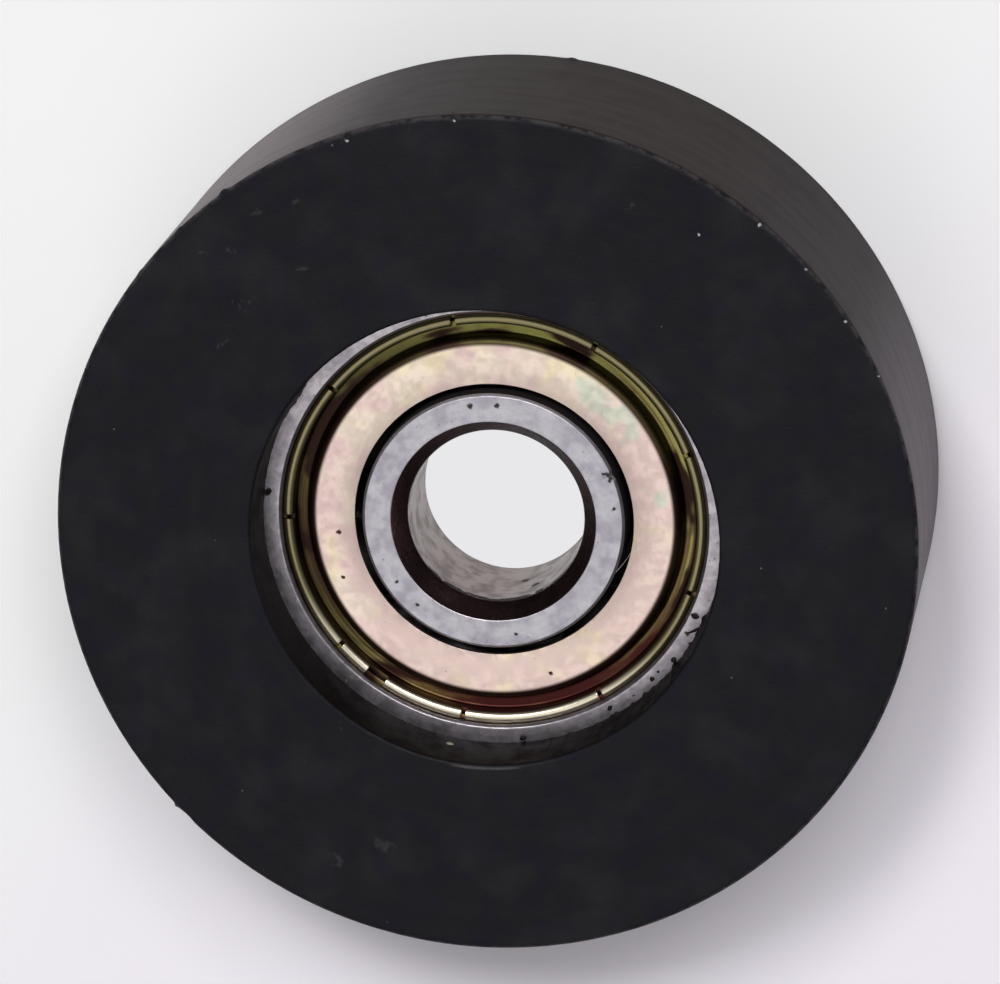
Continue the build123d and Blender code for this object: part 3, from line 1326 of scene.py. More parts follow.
    def side_finish(self) -> MouldedPlastic:
        """The plastic of the two flat sides, which is dusty and has a worn rim and a painted highlight on
        the mouth's edge.

        Returns:
            The finish.
        """
        top = PACKED.wheel_top
        on_side = marks_at(top, (-5.98, 17.95, 0.09), (-1.26, 19.0, 0.08), (9.46, 14.28, 0.07))
        near_rim = marks_at(
            top - 0.05,
            (12.07, 14.82, 0.1),
            (14.15, 12.9, 0.08),
            (15.9, 10.62, 0.09),
            (17.4, 8.22, 0.07),
        )
        faint = marks_at(
            top,
            (-6.96, -8.89, 0.14),
            (-6.42, -9.0, 0.12),
            (-8.08, -10.8, 0.12),
            (-4.54, -14.49, 0.45),
            (-6.66, -15.42, 0.35),
            (-12.48, 12.75, 0.3),
            (-11.23, 12.88, 0.3),
            (-8.31, 15.01, 0.3),
            (-10.09, 14.64, 0.25),
            (-7.98, 12.09, 0.25),
            (-11.65, 8.51, 0.25),
            (-10.77, 10.41, 0.25),
            (6.53, 15.61, 0.3),
        )
        return MouldedPlastic(
            "black_plastic_side",
            colour=seen(17, 16, 20),
            smudge_colour=seen(34, 34, 37),
            tint_colour=seen(18, 18, 34),
            smudge_share=0.45,
            roughness=0.58,
            sheen_level=0.12,
            grain_depth=0.012,
            line_share=0.12,
            dust=on_side + near_rim,
            faint=faint,
            # painted highlight on the mouth's edge at the bottom
            mouth_highlight=(-89.5, self.mouth_radius + self.mouth_edge),
            worn_edge=True,
        )

    def tread_finish(self) -> MouldedPlastic:
        """The plastic of the tread, with painted sheen towards two sides.

        Returns:
            The finish.
        """
        return MouldedPlastic(
            "black_plastic_tread",
            colour=seen(28, 18, 17),
            smudge_colour=seen(52, 41, 41),
            tint_colour=seen(40, 30, 34),
            tint_share=0.05,
            smudge_share=0.35,
            roughness=0.4,
            rough_change=0.01,
            sheen_level=0.02,
            grain_depth=0.0015,
            line_share=0.5,
            line_count=1.3,
            line_change=0.12,
            # painted sheen: the tread lighter towards its left and right, where it reflects light
            painted_sheen_sides=(
                PaintedSheenSide(150.0, 0.3, seen(54, 50, 51)),
                PaintedSheenSide(145.0, 0.74, seen(122, 113, 116)),
                PaintedSheenSide(-10.0, 0.3, seen(53, 49, 52)),
                PaintedSheenSide(-5.0, 0.76, seen(104, 97, 101)),
            ),
            worn_edge=True,
        )

    def recess_finish(self) -> MouldedPlastic:
        """The plastic in the recesses, darker than the sides as painted shade and lighter towards one side
        as painted sheen, with one pale crumb of dust on the wall.

        Returns:
            The finish.
        """
        return MouldedPlastic(
            "black_plastic_recess",
            # painted shade: a darker copy of the moulding's plastic for the recess
            colour=seen(10, 8, 9),
            smudge_colour=seen(22, 15, 16),
            tint_colour=seen(22, 10, 13),
            smudge_share=0.5,
            roughness=0.5,
            sheen_level=0.025,
            grain_depth=0.008,
            # painted sheen: the recess wall lighter towards the left
            painted_sheen_sides=(PaintedSheenSide(165.0, 0.45, seen(50, 45, 47)),),
            dust=(Mark(-1.84, -10.32, 4.36, 0.2),),
            dust_colour=seen(196, 188, 160),
        )

    def build(self, effects: Effects) -> list[Piece]:
        """Makes the moulding and its finishes.

        Args:
            effects: The shared effects.

        Returns:
            The moulding alone.
        """
        mesh = Lathe(steps=720).turn(self.corners())
        reshape(mesh, self.worn)
        finishes = (self.side_finish(), self.tread_finish(), self.recess_finish())
        fitting = Fitting("wheel_moulding", "wheel", "wheel_plastic", ("wheel_body",))
        return [fitting.fit(mesh, [finish.build(effects) for finish in finishes], self.surface)]


@dataclass(frozen=True)
class Crumb:
    """A crumb or a hair of plastic left on the ring's face by the moulding."""

    x: float
    y: float
    size: float
    stretch: float = 1.0
    turn_deg: float = 0.0


@dataclass(frozen=True)
class LipCrumbs(SubAssembly):
    """The crumbs of black plastic that lie on the narrow band of the outer ring's face."""

    thickness: float = 0.45  # of a crumb, for each unit of its width
    unevenness: float = 0.35
    lift_share: float = 0.3  # of a crumb's thickness, from the ring's face up to its middle
    crumbs: tuple[Crumb, ...] = (
        Crumb(8.22, -6.13, 0.13),
        Crumb(7.23, -7.07, 0.11),
        Crumb(7.5, -6.72, 0.06),
        Crumb(5.33, -8.54, 0.1, 1.4, 70.0),
        Crumb(1.37, -10.16, 0.12, 1.3, 20.0),
        Crumb(9.15, -4.01, 0.12, 1.5, -30.0),
        Crumb(9.3, -4.6, 0.07, 8.0, 27.0),
        Crumb(9.78, -4.38, 0.09, 2.5, 40.0),
        Crumb(-10.2, 1.0, 0.12, 1.2, 80.0),
        Crumb(8.9, -5.3, 0.05),
        Crumb(6.4, -7.9, 0.05),
    )

    def add_crumb(self, mesh: Mesh, crumb: Crumb, number: int) -> None:
        """Adds one crumb to the mesh.

        Args:
            mesh: The mesh of all the crumbs.
            crumb: The crumb.
            number: Its place in the list, which gives it a shape of its own.
        """
        lump = bmesh.ops.create_icosphere(mesh, subdivisions=3, radius=crumb.size * MM)["verts"]
        for point in lump:
            uneven = noise.noise(point.co / (crumb.size * MM) * 1.3 + Vector((number, 0, 0)))
            point.co *= 1 + self.unevenness * uneven
        bmesh.ops.scale(mesh, verts=lump, vec=(crumb.stretch, 1.0, self.thickness))
        rotate(mesh, lump, math.radians(crumb.turn_deg), "Z")
        lift = PACKED.ring_top + self.lift_share * self.thickness * crumb.size
        bmesh.ops.translate(mesh, verts=lump, vec=Vector((crumb.x, crumb.y, lift)) * MM)

    def build(self, effects: Effects) -> list[Piece]:
        """Makes the crumbs as one piece.

        Args:
            effects: The shared effects.

        Returns:
            That piece alone.
        """
        mesh = bmesh.new()
        for number, crumb in enumerate(self.crumbs):
            self.add_crumb(mesh, crumb, number)
        bmesh.ops.recalc_face_normals(mesh, faces=mesh.faces)
        plastic = MouldedPlastic(
            "black_plastic_crumbs",
            colour=seen(20, 17, 19),
            smudge_colour=seen(36, 32, 32),
            tint_colour=seen(26, 22, 28),
            smudge_share=0.5,
            roughness=0.55,
            sheen_level=0.12,
            line_depth=0.001,
            grain_depth=0.01,
        )
        fitting = Fitting("lip_crumbs", "wheel", "wheel_plastic")
        return [fitting.fit(mesh, [plastic.build(effects)])]


@dataclass(frozen=True)
class BearingRings(SubAssembly):
    """The outer and inner rings, with their raceways and the seats of the shields."""

    raceway_radius: float = 2.064
    groove_wall: float = 1.5
    bore_radius: float = BORE_RADIUS
    outer_land: float = 9.0
    bore_chamfer: float = 0.65
    bore_lead: float = 0.95
    rim_chamfer: float = 0.3
    land_break: float = 0.12
    seat_mouth: float = 9.63
    seat_undercut: float = 0.12
    seat_lip: float = 0.35
    step_depth: float = 1.25
    groove_points: int = 9
    nick_turn_deg: float = 24.0
    nick_depth: float = 0.12
    nick_width_deg: float = 2.5
    edge_ripple: float = 0.012  # unevenness of the inner ring's outer edges
    edge_reach: float = 0.3  # how far from an edge they change it, down and inwards
    edge_reach_in: float = 0.25
    end_slope: float = 0.85  # a face whose normal rises more than this is part of a ring's end
    chamfer_slope: float = 0.2  # and more than this, of a bore's chamfer

    def groove(self, centre_radius: float, land_radius: float) -> list[Corner]:
        """Half of a raceway's round, from the land to the middle.

        Args:
            centre_radius: Where the round's centre lies.
            land_radius: The radius at which the round meets the land.

        Returns:
            The points of the round, without its lowest point.
        """
        across = land_radius - centre_radius
        start = math.acos(across / self.raceway_radius)
        end = 0.0 if across > 0 else math.pi
        turns = [start + (end - start) * step / self.groove_points for step in range(self.groove_points)]
        return [
            Corner(centre_radius + self.raceway_radius * math.cos(t), self.raceway_radius * math.sin(t))
            for t in turns
        ]

    def outer_corners(self) -> list[Corner]:
        """The outer ring's outline.

        Returns:
            Its corners in order.
        """
        top = PACKED.ring_top
        radius = PACKED.ring_radius
        bottom = radius - self.groove_wall
        undercut = self.seat_mouth + self.seat_undercut
        undercut_top = top - self.seat_lip
        front = [
            Corner(radius, top - self.rim_chamfer, 0.05, 2),
            Corner(radius - self.rim_chamfer, top, 0.05, 2),
            Corner(self.seat_mouth + self.land_break, top, 0.05, 3),
            Corner(self.seat_mouth, top - self.land_break, 0.05, 3),
            Corner(self.seat_mouth, undercut_top),
            Corner(undercut, undercut_top - self.seat_undercut),
            Corner(undercut, top - self.step_depth),
            Corner(self.outer_land, top - self.step_depth),
            *self.groove(bottom - self.raceway_radius, self.outer_land),
        ]
        return both_ends(front, [Corner(bottom, 0.0)])

    def inner_corners(self) -> list[Corner]:
        """The inner ring's outline.

        Returns:
            Its corners in order.
        """
        top = PACKED.ring_top
        land = PACKED.inner_land
        bottom = self.bore_radius + self.groove_wall
        front = [
            Corner(self.bore_radius, top - self.bore_lead, 0.3, 6),
            Corner(self.bore_radius + self.bore_chamfer, top, 0.06, 3),
            Corner(land - self.land_break, top, 0.05, 3),
            Corner(land, top - self.land_break, 0.05, 3),
            *self.groove(bottom + self.raceway_radius, land),
        ]
        return both_ends(front, [Corner(bottom, 0.0)])

    def worn_inner(self, radius: float, turn: float, height: float) -> tuple[float, float]:
        """Where a point of the inner ring lies: its edges are slightly uneven, and nicked at one place.

        Args:
            radius: The point's radius as turned.
            turn: Its turn round the axis in degrees.
            height: Its height.

        Returns:
            The radius and height it has.
        """
        near_end = fade(abs(height) - PACKED.ring_top, self.edge_reach)
        near_edge = near_end * fade(radius - PACKED.inner_land, self.edge_reach_in)
        uneven = self.edge_ripple * abs(wander(Vector(direction(turn)), 18, height))
        nick = self.nick_depth * fade(turn_between(turn, self.nick_turn_deg), self.nick_width_deg)
        nick = nick if height > 0 else 0.0
        sink = near_edge * nick * 0.5
        return radius - near_edge * (uneven + nick), height - math.copysign(sink, height)

    def outer_surface(self, radius: float, height: float, normal: Vector) -> int:
        """Which material a face has: 0 outside and on the ends, 1 inside behind the shields."""
        return 1 if radius < self.seat_mouth and abs(height) < PACKED.ring_top - self.seat_lip else 0

    def inner_surface(self, radius: float, height: float, normal: Vector) -> int:
        """Which material a face has.

        Args:
            radius: The face's radius.
            height: Its height.
            normal: Its normal.

        Returns:
            0 on the ends, 1 on the chamfers, 2 in the bore, 3 outside.
        """
        if radius > self.bore_radius + self.bore_chamfer:
            return 0 if abs(height) > PACKED.ring_top - self.land_break else 3
        if abs(normal.z) > self.end_slope:
            return 0
        return 1 if abs(normal.z) > self.chamfer_slope else 2

    @staticmethod
    def band_finish() -> GroundSteel:
        """The steel of the outer ring, whose face is dirty where crumbs of plastic lie.

        Returns:
            The finish.
        """
        return GroundSteel(
            "outer_ring_steel",
            colour=seen(168, 162, 166),
            tint=seen(160, 153, 161),
            roughness=0.28,
            line_count=5.0,
            line_depth=0.001,
            line_shade=0.12,
            mottle=0.3,
            dirt=marks_at(
                PACKED.ring_top,
                (9.15, -4.01, 0.2),
                (8.79, -4.87, 0.16),
                (9.5, -4.6, 0.12),
                (-10.3, 0.95, 0.22),
            ),
            speck_share=0.5,
        )

    @staticmethod
    def face_finish() -> GroundSteel:
        """The inner ring's ground ends, with the dark marks and the nick of the front one.

        Returns:
            The finish.
        """
        return GroundSteel(
            "inner_ring_face",
            colour=seen(185, 181, 187),
            tint=seen(171, 166, 176),
            roughness=0.4,
            line_count=7.0,
            line_depth=0.0015,
            line_shade=0.12,
            mottle=0.12,
            dirt=marks_at(
                PACKED.ring_top,
                (-1.03, 5.35, 0.19),
                (0.19, 5.4, 0.14),
                (4.98, 2.42, 0.11),
                (5.1, 2.44, 0.12),
                (5.2, 2.38, 0.13),
                (5.27, 2.26, 0.13),
                (5.26, 2.12, 0.12),
                (5.46, 0.84, 0.12),
                (-3.46, -4.06, 0.14),
                (-4.37, -3.02, 0.13),
                (1.05, -5.23, 0.12),
            ),
            speck_share=0.25,
            speck_strength=0.35,
        )

    @staticmethod
    def chamfer_finish() -> GroundSteel:
        """The darker turned steel of the bore's chamfers.

        Returns:
            The finish.
        """
        return GroundSteel(
            "bore_chamfer",
            colour=seen(120, 104, 106),
            tint=seen(96, 76, 78),
            roughness=0.22,
            line_count=10.0,
            line_depth=0.004,
            speck_share=0.3,
        )

    @staticmethod
    def bore_finish() -> GroundSteel:
        """The bore's wall, with a brown band below its front edge at the bottom, partly stain and partly
        painted shade.

        Returns:
            The finish.
        """
        return GroundSteel(
            "bore_wall",
            colour=seen(150, 138, 135),
            tint=seen(124, 112, 108),
            roughness=0.34,
            line_count=1.2,
            line_depth=0.0005,
            line_change=0.5,
            line_shade=0.12,
            dirt=(
                Mark(0.95, -3.89, -0.3, 0.24),
                Mark(1.6, -3.67, 0.9, 0.26),
                Mark(3.3, -2.26, -1.9, 0.3),
            ),
            # partly stain, partly painted shade, at the bottom below the front edge
            stain_and_shade=(-84.0, 2.55, 0.55),
        )

    def build(self, effects: Effects) -> list[Piece]:
        """Makes both rings and their finishes.

        Args:
            effects: The shared effects.

        Returns:
            The outer ring and the inner one.
        """
        lathe = Lathe(steps=512)
        inner_mesh = lathe.turn(self.inner_corners())
        reshape(inner_mesh, self.worn_inner)
        outer_finishes = (self.band_finish(), shaded_grease("outer_raceway_shaded_grease"))
        inner_finishes = (
            self.face_finish(),
            self.chamfer_finish(),
            self.bore_finish(),
            shaded_grease("inner_raceway_shaded_grease"),
        )
        outer = Fitting("bearing_outer_ring", "wheel", "ring_steel", ("outer_ring",)).fit(
            lathe.turn(self.outer_corners()),
            [finish.build(effects) for finish in outer_finishes],
            self.outer_surface,
        )
        inner = Fitting("bearing_inner_ring", "inner", "ring_steel", ("inner_ring",)).fit(
            inner_mesh,
            [finish.build(effects) for finish in inner_finishes],
            self.inner_surface,
        )
        return [outer, inner]


class Side(Enum):
    """The wheel's two sides, by the word in the names of the pieces there."""

    FRONT = "front"
    REAR = "rear"


@dataclass(frozen=True)
class PressedShield(SubAssembly):
    """A shield pressed from plated sheet, with a notched rim that is curled out and down."""

    sheet: float = 0.2
    gap: float = 0.38
    flat_depth: float = 0.3
    trough_width: float = 0.95
    wall_lean: float = 0.11
    trough_bend: float = 0.2
    flat_bend: float = 0.25
    curl_outer: float = 9.6
    curl_width: float = 0.5
    curl_flare: float = 0.1
    curl_drop: float = 0.5
    curl_roundness: float = 0.45
    notch_count: int = 9
    notch_width: float = 0.22
    notch_depth: float = 0.5
    first_notch_deg: float = 21.3
    gap_deg: float = -125.4
    gap_width: float = 1.0
    edge_break: float = 0.03
    cut_edge_deg: float = 60.0  # an edge sharper than this has been cut, and isn't a bend
    hidden_slope: float = 0.5  # a face whose normal goes down more than this looks into the bearing

    def corners(self) -> list[Corner]:
        """The line along the middle of the sheet.

        Returns:
            Its corners, from the inner edge outwards.
        """
        half = self.sheet / 2
        flat_height = PACKED.ring_top - self.flat_depth - half
        trough_height = PACKED.shield_foot + half
        curl_height = PACKED.shield_top - half
        trough_outer = self.curl_outer - self.curl_width
        wall = trough_outer - self.trough_width + half + self.wall_lean
        inner_leg = trough_outer + half
        outer_leg = self.curl_outer - half
        curl_bend = self.curl_roundness * (outer_leg - inner_leg)
        return [
            Corner(PACKED.inner_land + self.gap, flat_height),
            Corner(wall, flat_height, self.flat_bend, 5),
            Corner(wall + self.wall_lean, trough_height, self.trough_bend, 5),
            Corner(inner_leg, trough_height, self.trough_bend, 5),
            Corner(inner_leg, curl_height, curl_bend, 10),
            Corner(outer_leg, curl_height, curl_bend, 10),
            Corner(outer_leg + self.curl_flare, curl_height - self.curl_drop),
        ]

    def cut_rim(self, mesh: Mesh, turn_deg: float, width: float) -> None:
        """Cuts a slot through the curled rim.

        Args:
            mesh: The sheet's middle surface.
            turn_deg: Where the slot is.
            width: How wide it is along the rim.
        """
        out = Vector(direction(turn_deg))
        along = Vector((-out.y, out.x, 0.0))
        inside = (self.curl_outer - self.curl_width - self.trough_width / 3) * MM
        floor = (PACKED.ring_top - self.notch_depth) * MM

        def near(face: bmesh.types.BMFace, reach: float) -> bool:
            """Whether a face's middle is on the rim and within reach of the slot's."""
            middle = face.calc_center_median()
            return abs(middle.dot(along)) < reach and middle.dot(out) > inside

        for side in (-0.5, 0.5):
            faces = [face for face in mesh.faces if near(face, width * MM)]
            self.slice(mesh, faces, along * (side * width * MM), along)
        faces = [face for face in mesh.faces if near(face, 0.51 * width * MM)]
        self.slice(mesh, faces, Vector((0, 0, floor)), Vector((0, 0, 1)))
        within = [face for face in mesh.faces if near(face, 0.5 * width * MM)]
        cut = [face for face in within if face.calc_center_median().z > floor]
        bmesh.ops.delete(mesh, geom=cut, context="FACES")

    @staticmethod
    def slice(mesh: Mesh, faces: list[bmesh.types.BMFace], place: Vector, normal: Vector) -> None:
        """Cuts some faces along a plane.

        Args:
            mesh: The mesh that they are in.
            faces: The faces.
            place: A point of the plane.
            normal: The plane's normal.
        """
        edges = {edge for face in faces for edge in face.edges}
        points = {vertex for face in faces for vertex in face.verts}
        geometry = [*points, *edges, *faces]
        bmesh.ops.bisect_plane(mesh, geom=geometry, plane_co=place, plane_no=normal, dist=SMALL * MM)

    def thicken(self, mesh: Mesh) -> None:
        """Gives the middle surface the sheet's thickness, half to each side.

        Args:
            mesh: The middle surface.
        """
        mesh.normal_update()
        moves = [(vertex, vertex.normal * (self.sheet / 2 * MM)) for vertex in mesh.verts]
        for vertex, move in moves:
            vertex.co += move
        bmesh.ops.solidify(mesh, geom=mesh.faces[:], thickness=self.sheet * MM)
        mesh.normal_update()

    def break_edges(self, mesh: Mesh) -> None:
        """Takes the sharpness off the cut edges of the sheet.

        Args:
            mesh: The sheet.
        """
        limit = math.radians(self.cut_edge_deg)
        joined = [edge for edge in mesh.edges if len(edge.link_faces) == 2]
        bmesh.ops.bevel(
            mesh,
            geom=[edge for edge in joined if edge.calc_face_angle(0) > limit],
            offset=self.edge_break * MM,
            offset_type="OFFSET",
            segments=2,
            profile=0.5,
            affect="EDGES",
            material=-1,
            clamp_overlap=True,
        )

    def mesh(self) -> Mesh:
        """The front shield's mesh.

        Returns:
            The mesh.
        """
        mesh = Lathe(steps=512).turn(self.corners(), closed=False)
        upward = max(mesh.faces, key=lambda face: abs(face.normal.z))
        if upward.normal.z < 0:
            bmesh.ops.reverse_faces(mesh, faces=mesh.faces)
        step = 360 / self.notch_count
        for number in range(self.notch_count):
            self.cut_rim(mesh, self.first_notch_deg + number * step, self.notch_width)
        self.cut_rim(mesh, self.gap_deg, self.gap_width)
        self.thicken(mesh)
        self.break_edges(mesh)
        return mesh

    def surface(self, radius: float, height: float, normal: Vector) -> int:
        """Which material a face has: 0 where the plating shows, 1 on what looks into the bearing."""
        return 1 if normal.z * height < 0 and abs(normal.z) > self.hidden_slope else 0

    def plating(self) -> ZincPlate:
        """The plating, with the marks and the green places of the front shield's.

        Returns:
            The finish.
        """
        flat_top = PACKED.ring_top - self.flat_depth
        curl_edge = self.curl_outer - self.curl_width
        return ZincPlate(
            "zinc_plate_front",
            flat_edge=curl_edge - self.trough_width,
            curl_edge=curl_edge,
            curl_height=PACKED.shield_top,
            spots=marks_at(flat_top, (-7.06, -0.87, 0.16), (-6.89, -2.98, 0.14), (2.6, -7.15, 0.13)),
            green_places=marks_at(
                flat_top,
                (4.3, 6.2, 0.7),
                (4.9, 5.8, 0.8),
                (5.5, 5.2, 0.9),
                (6.0, 4.5, 0.7),
                (7.71, 1.5, 0.6),
            ),
        )

    def shield(self, side: Side, plating: ZincPlate, effects: Effects) -> Piece:
        """Makes one shield.

        Args:
            side: Where it is.
            plating: Its finish.
            effects: The shared effects.

        Returns:
            The shield.
        """
        name = f"{side.value}_shield"
        mesh = self.mesh()
        if side is Side.REAR:
            rotate(mesh, mesh.verts, math.pi, "X")
        materials = [plating.build(effects), shaded_grease(f"{name}_greased").build(effects)]
        return Fitting(f"{name}_plate", "wheel", "plated_shield", (name,)).fit(
            mesh, materials, self.surface
        )

    def build(self, effects: Effects) -> list[Piece]:
        """Makes both shields.

        Args:
            effects: The shared effects.

        Returns:
            The front shield and the rear one.
        """
        plating = self.plating()
        unmarked = replace(plating, name="zinc_plate_rear", spots=(), green_places=())
        front = self.shield(Side.FRONT, plating, effects)
        return [front, self.shield(Side.REAR, unmarked, effects)]


@dataclass(frozen=True)
class HiddenRunning(SubAssembly):
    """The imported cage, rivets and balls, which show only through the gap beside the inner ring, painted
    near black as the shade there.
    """

    # painted shade: cage and balls near black and not metallic, as they sit in the dark gap
    cage: GroundSteel = GroundSteel(
        "cage_steel_oiled_painted_shade",
        colour=seen(24, 18, 19),
        tint=seen(18, 13, 15),
        roughness=0.6,
        line_count=4.0,
        line_depth=0.003,
        speck_share=0.15,
        bare=0.0,
    )
    balls: GroundSteel = GroundSteel(
        "ball_steel_painted_shade",
        colour=seen(26, 21, 22),
        tint=seen(20, 16, 18),
        roughness=0.5,
        line_count=1.0,
        line_depth=0.0005,
        speck_share=0.05,
        speck_strength=0.3,
        bare=0.0,
    )

    def build(self, effects: Effects) -> list[Piece]:
        """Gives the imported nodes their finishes.

        Args:
            effects: The shared effects.

        Returns:
            The nodes.
        """
        dressed = []
        for start, finish in (("cage", self.cage), ("ball", self.balls)):
            material = finish.build(effects)
            for name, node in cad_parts.items():
                if name.startswith(start):
                    self.assign(node, material)
                    dressed.append(node)
        return dressed

    @staticmethod
    def assign(node: Piece, material: Material) -> None:
        """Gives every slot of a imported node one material.

        Args:
            node: The node.
            material: The material.
        """
        if not node.material_slots:
            node.data.materials.append(material)
        for slot in node.material_slots:
            slot.material = material


@dataclass(frozen=True)
class Softbox:
    """A soft studio lamp, by the direction and distance from the wheel to it."""

    name: str
    azimuth_deg: float
    elevation_deg: float
    distance: float
    width: float
    power: float

    def build(self) -> bpy.types.Object:
        """Makes the lamp, aimed at the wheel.

        Returns:
            The lamp.
        """
        data = bpy.data.lights.new(self.name, "AREA")
        data.shape = "SQUARE"
        data.size = self.width * MM
        data.energy = self.power
        lamp = add_object(self.name, data)
        elevation = math.radians(self.elevation_deg)
        away = Vector(direction(self.azimuth_deg)) * math.cos(elevation)
        away.z = math.sin(elevation)
        lamp.location = away * self.distance * MM
        lamp.rotation_mode = "QUATERNION"
        lamp.rotation_quaternion = away.to_track_quat("Z", "Y")
        return lamp


@dataclass(frozen=True)
class Studio:
    """The pale floor, the soft lamps and the white surroundings."""

    floor_radius: float = 900.0
    floor_gap: float = 0.005  # from the wheel's rear side down to the floor
    floor_colour: Colour = seen(237, 237, 237)
    floor_tint: Colour = seen(236, 230, 238)
    floor_glow: Colour = seen(240, 238, 242)
    tint_from: float = -15.0  # towards the lower right, in millimetres from the axis
    tint_full: float = 25.0
    tint_turn_deg: float = -45.0
    glow_share: float = 0.2  # of the floor's look that stays white, away from the wheel
    glow_from: float = 22.0
    glow_full: float = 40.0
    painted_shadow_radius: float = 14.0  # the floor is painted dark under the wheel as shadow, away from the bore
    painted_shadow_colour: Colour = seen(64, 62, 64)
    backdrop_radius: float = 5.7
    backdrop_glow: Colour = seen(232, 232, 234)
    lamps: tuple[Softbox, ...] = (
        Softbox("top_right_lamp", 66.0, 58.0, 600.0, 180.0, 1.15),
        Softbox("top_left_lamp", 105.0, 59.0, 600.0, 150.0, 1.8),
        Softbox("overhead_lamp", -116.0, 71.6, 700.0, 400.0, 0.62),
        Softbox("front_lamp", -100.0, 40.0, 600.0, 300.0, 0.23),
    )
    world_low: float = 0.08
    world_high: float = 0.26
    world_tint: Colour = (0.97, 0.98, 1.0)
    world_seen: Colour = seen(238, 238, 240)

    def build(self, effects: Effects) -> None:
        """Makes everything that isn't the wheel.

        Args:
            effects: The shared effects.
        """
        under = -PACKED.wheel_top
        floor = self.disc("floor", self.floor_radius, under - self.floor_gap, self.floor_material(effects))
        ground = self.backdrop_material(effects)
        backdrop = self.disc("bore_backdrop", self.backdrop_radius, under, ground)
        for lamp in self.lamps:
            log.info("%s", lamp.build().name)
        self.world(effects)

    @staticmethod
    def disc(name: str, radius: float, height: float, material: Material) -> bpy.types.Object:
        """Makes a flat round sheet.

        Args:
            name: Its name.
            radius: Its radius.
            height: How high it lies.
            material: Its material.

        Returns:
            The sheet.
        """
        mesh = bmesh.new()
        bmesh.ops.create_circle(mesh, cap_ends=True, segments=96, radius=radius * MM)
        bmesh.ops.translate(mesh, verts=mesh.verts, vec=(0, 0, height * MM))
        bmesh.ops.recalc_face_normals(mesh, faces=mesh.faces)
        return add_mesh(name, mesh, [material])

    @staticmethod
    def paper(graph: Graph, colour: Value, glow: Colour, glowing: Value) -> None:
        """Matt paper that stays pale where it is seen, directly, in a reflection or through glass.

        Args:
            graph: The material's graph.
            colour: The paper's colour under the lamps.
            glow: Its colour where it stays pale.
            glowing: How far it does, from 0 to 1.
        """
        path = graph.add("LightPath", {}).outputs
        shown = graph.either(path["Is Camera Ray"], path["Is Glossy Ray"])
        shown = graph.either(shown, path["Is Transmission Ray"])
        diffuse = graph.add("BsdfDiffuse", {"Color": colour}).outputs[0]
        emission = graph.add("Emission", {"Color": glow, "Strength": 1.0}).outputs[0]
        share = graph.times(shown, glowing)
        mixed = graph.add("MixShader", {0: share, 1: diffuse, 2: emission}).outputs[0]
        graph.add("OutputMaterial", {"Surface": mixed})

    def floor_material(self, effects: Effects) -> Material:
        """The floor's pale paper, a little cooler at the lower right, with a painted shadow under the
        wheel.

        Args:
            effects: The shared effects.

        Returns:
            The material.
        """
        material = bpy.data.materials.new("pale_floor")
        graph = Graph.of(material, effects)
        place = graph.add("TexCoord", {}).outputs["Object"]
        away = graph.vector("LENGTH", place)[1]
        aside = graph.vector("DOT_PRODUCT", place, direction(self.tint_turn_deg))[1]
        wavy = graph.times(graph.noise(place, 14.0, detail=2.0), 2 * self.tint_full * MM)
        wavy = graph.maths("SUBTRACT", graph.maths("ADD", aside, wavy), self.tint_full * MM)
        tinted = graph.step(wavy, self.tint_from * MM, self.tint_full * MM)
        colour = graph.mix(tinted, self.floor_colour, self.floor_tint)
        # painted shadow: the floor dark under the wheel
        painted_shadow = graph.step(away, self.painted_shadow_radius * MM, (self.painted_shadow_radius - 1.0) * MM)
        colour = graph.mix(painted_shadow, colour, self.painted_shadow_colour)
        clear = graph.step(away, self.glow_from * MM, self.glow_full * MM)
        self.paper(graph, colour, self.floor_glow, graph.times(clear, self.glow_share))
        return material

    def backdrop_material(self, effects: Effects) -> Material:
        """The pale ground that shows through the bore.

        Args:
            effects: The shared effects.

        Returns:
            The material.
        """
        material = bpy.data.materials.new("bore_backdrop")
        self.paper(Graph.of(material, effects), self.floor_colour, self.backdrop_glow, 1.0)
        return material

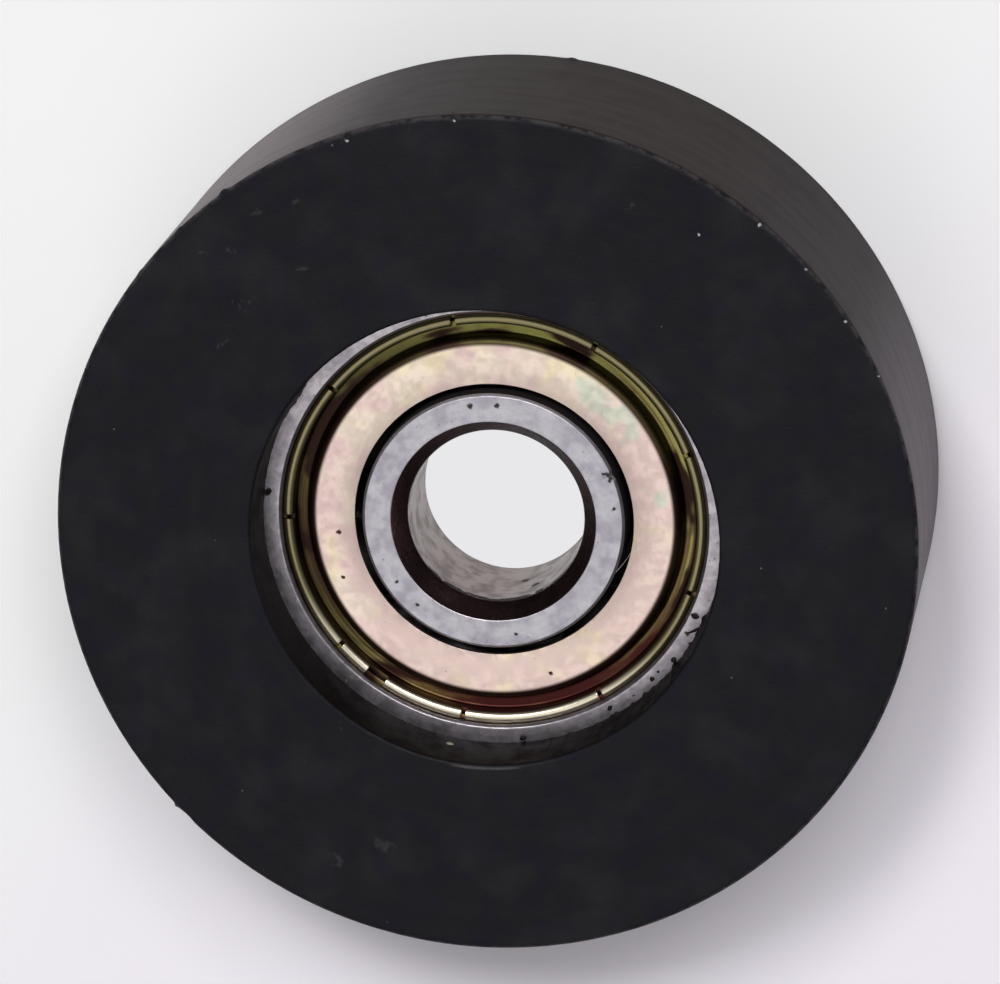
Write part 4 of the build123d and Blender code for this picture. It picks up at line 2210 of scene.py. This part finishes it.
    def world(self, effects: Effects) -> None:
        """Surroundings that are brighter overhead, and white where the camera sees them.

        Args:
            effects: The shared effects.
        """
        world = bpy.data.worlds.new("white_room")
        bpy.context.scene.world = world
        graph = Graph.of(world, effects)
        way = graph.add("TexCoord", {}).outputs["Generated"]
        up = graph.add("SeparateXYZ", {0: way}).outputs[2]
        level = graph.between(graph.step(up, 0.1, 0.75), self.world_low, self.world_high)
        by_camera = graph.add("LightPath", {}).outputs["Is Camera Ray"]
        strength = graph.between(by_camera, level, 1.0)
        tint = graph.mix(by_camera, self.world_tint, self.world_seen)
        background = graph.add("Background", {"Color": tint, "Strength": strength})
        graph.add("OutputWorld", {"Surface": background.outputs[0]})


@dataclass(frozen=True)
class PhotoCamera:
    """The photograph's view: how the wheel lies in front of the lens."""

    focal: float = 5.506  # for each unit of the picture's width
    swing: float = 0.149
    pitch: float = 0.284
    aim: tuple[float, float, float] = (-0.317, 1.341, 246.759)  # right, down and forward to the bearing
    sensor_width: float = 36.0
    nearest: float = 0.01  # and farthest, in metres, of what it shows
    farthest: float = 20.0

    def build(self) -> bpy.types.Object:
        """Makes the camera and takes it into use.

        Returns:
            The camera.
        """
        data = bpy.data.cameras.new("photo_camera")
        data.sensor_width = self.sensor_width
        data.lens = self.focal * self.sensor_width
        data.clip_start = self.nearest
        data.clip_end = self.farthest
        camera = add_object("photo_camera", data)
        level = math.cos(self.pitch)
        out_of_front = Vector(
            (-math.sin(self.swing) * level, math.sin(self.pitch), -math.cos(self.swing) * level)
        )
        right = Vector((1, 0, 0))
        across = (right - right.dot(out_of_front) * out_of_front).normalized()
        axes = Matrix((across, out_of_front.cross(across), out_of_front))
        bearing_front = Vector((0, 0, PACKED.ring_top * MM))
        place = bearing_front - axes @ Vector(self.aim) * MM
        turned = Matrix((axes.col[0], -axes.col[1], -axes.col[2])).transposed()
        camera.matrix_world = Matrix.Translation(place) @ turned.to_4x4()
        bpy.context.scene.camera = camera
        return camera


def main() -> None:
    """Builds every piece, the studio and the camera."""
    logging.basicConfig(level=logging.INFO, format="%(name)s %(message)s")
    effects = Effects()
    for part in (WheelMoulding(), LipCrumbs(), BearingRings(), PressedShield(), HiddenRunning()):
        for piece in part.build(effects):
            log.info("%s: %d faces", piece.name, len(piece.data.polygons))
    Studio().build(effects)
    PhotoCamera().build()
    bpy.context.scene.view_settings.view_transform = "Standard"


if __name__ == "__main__":
    main()
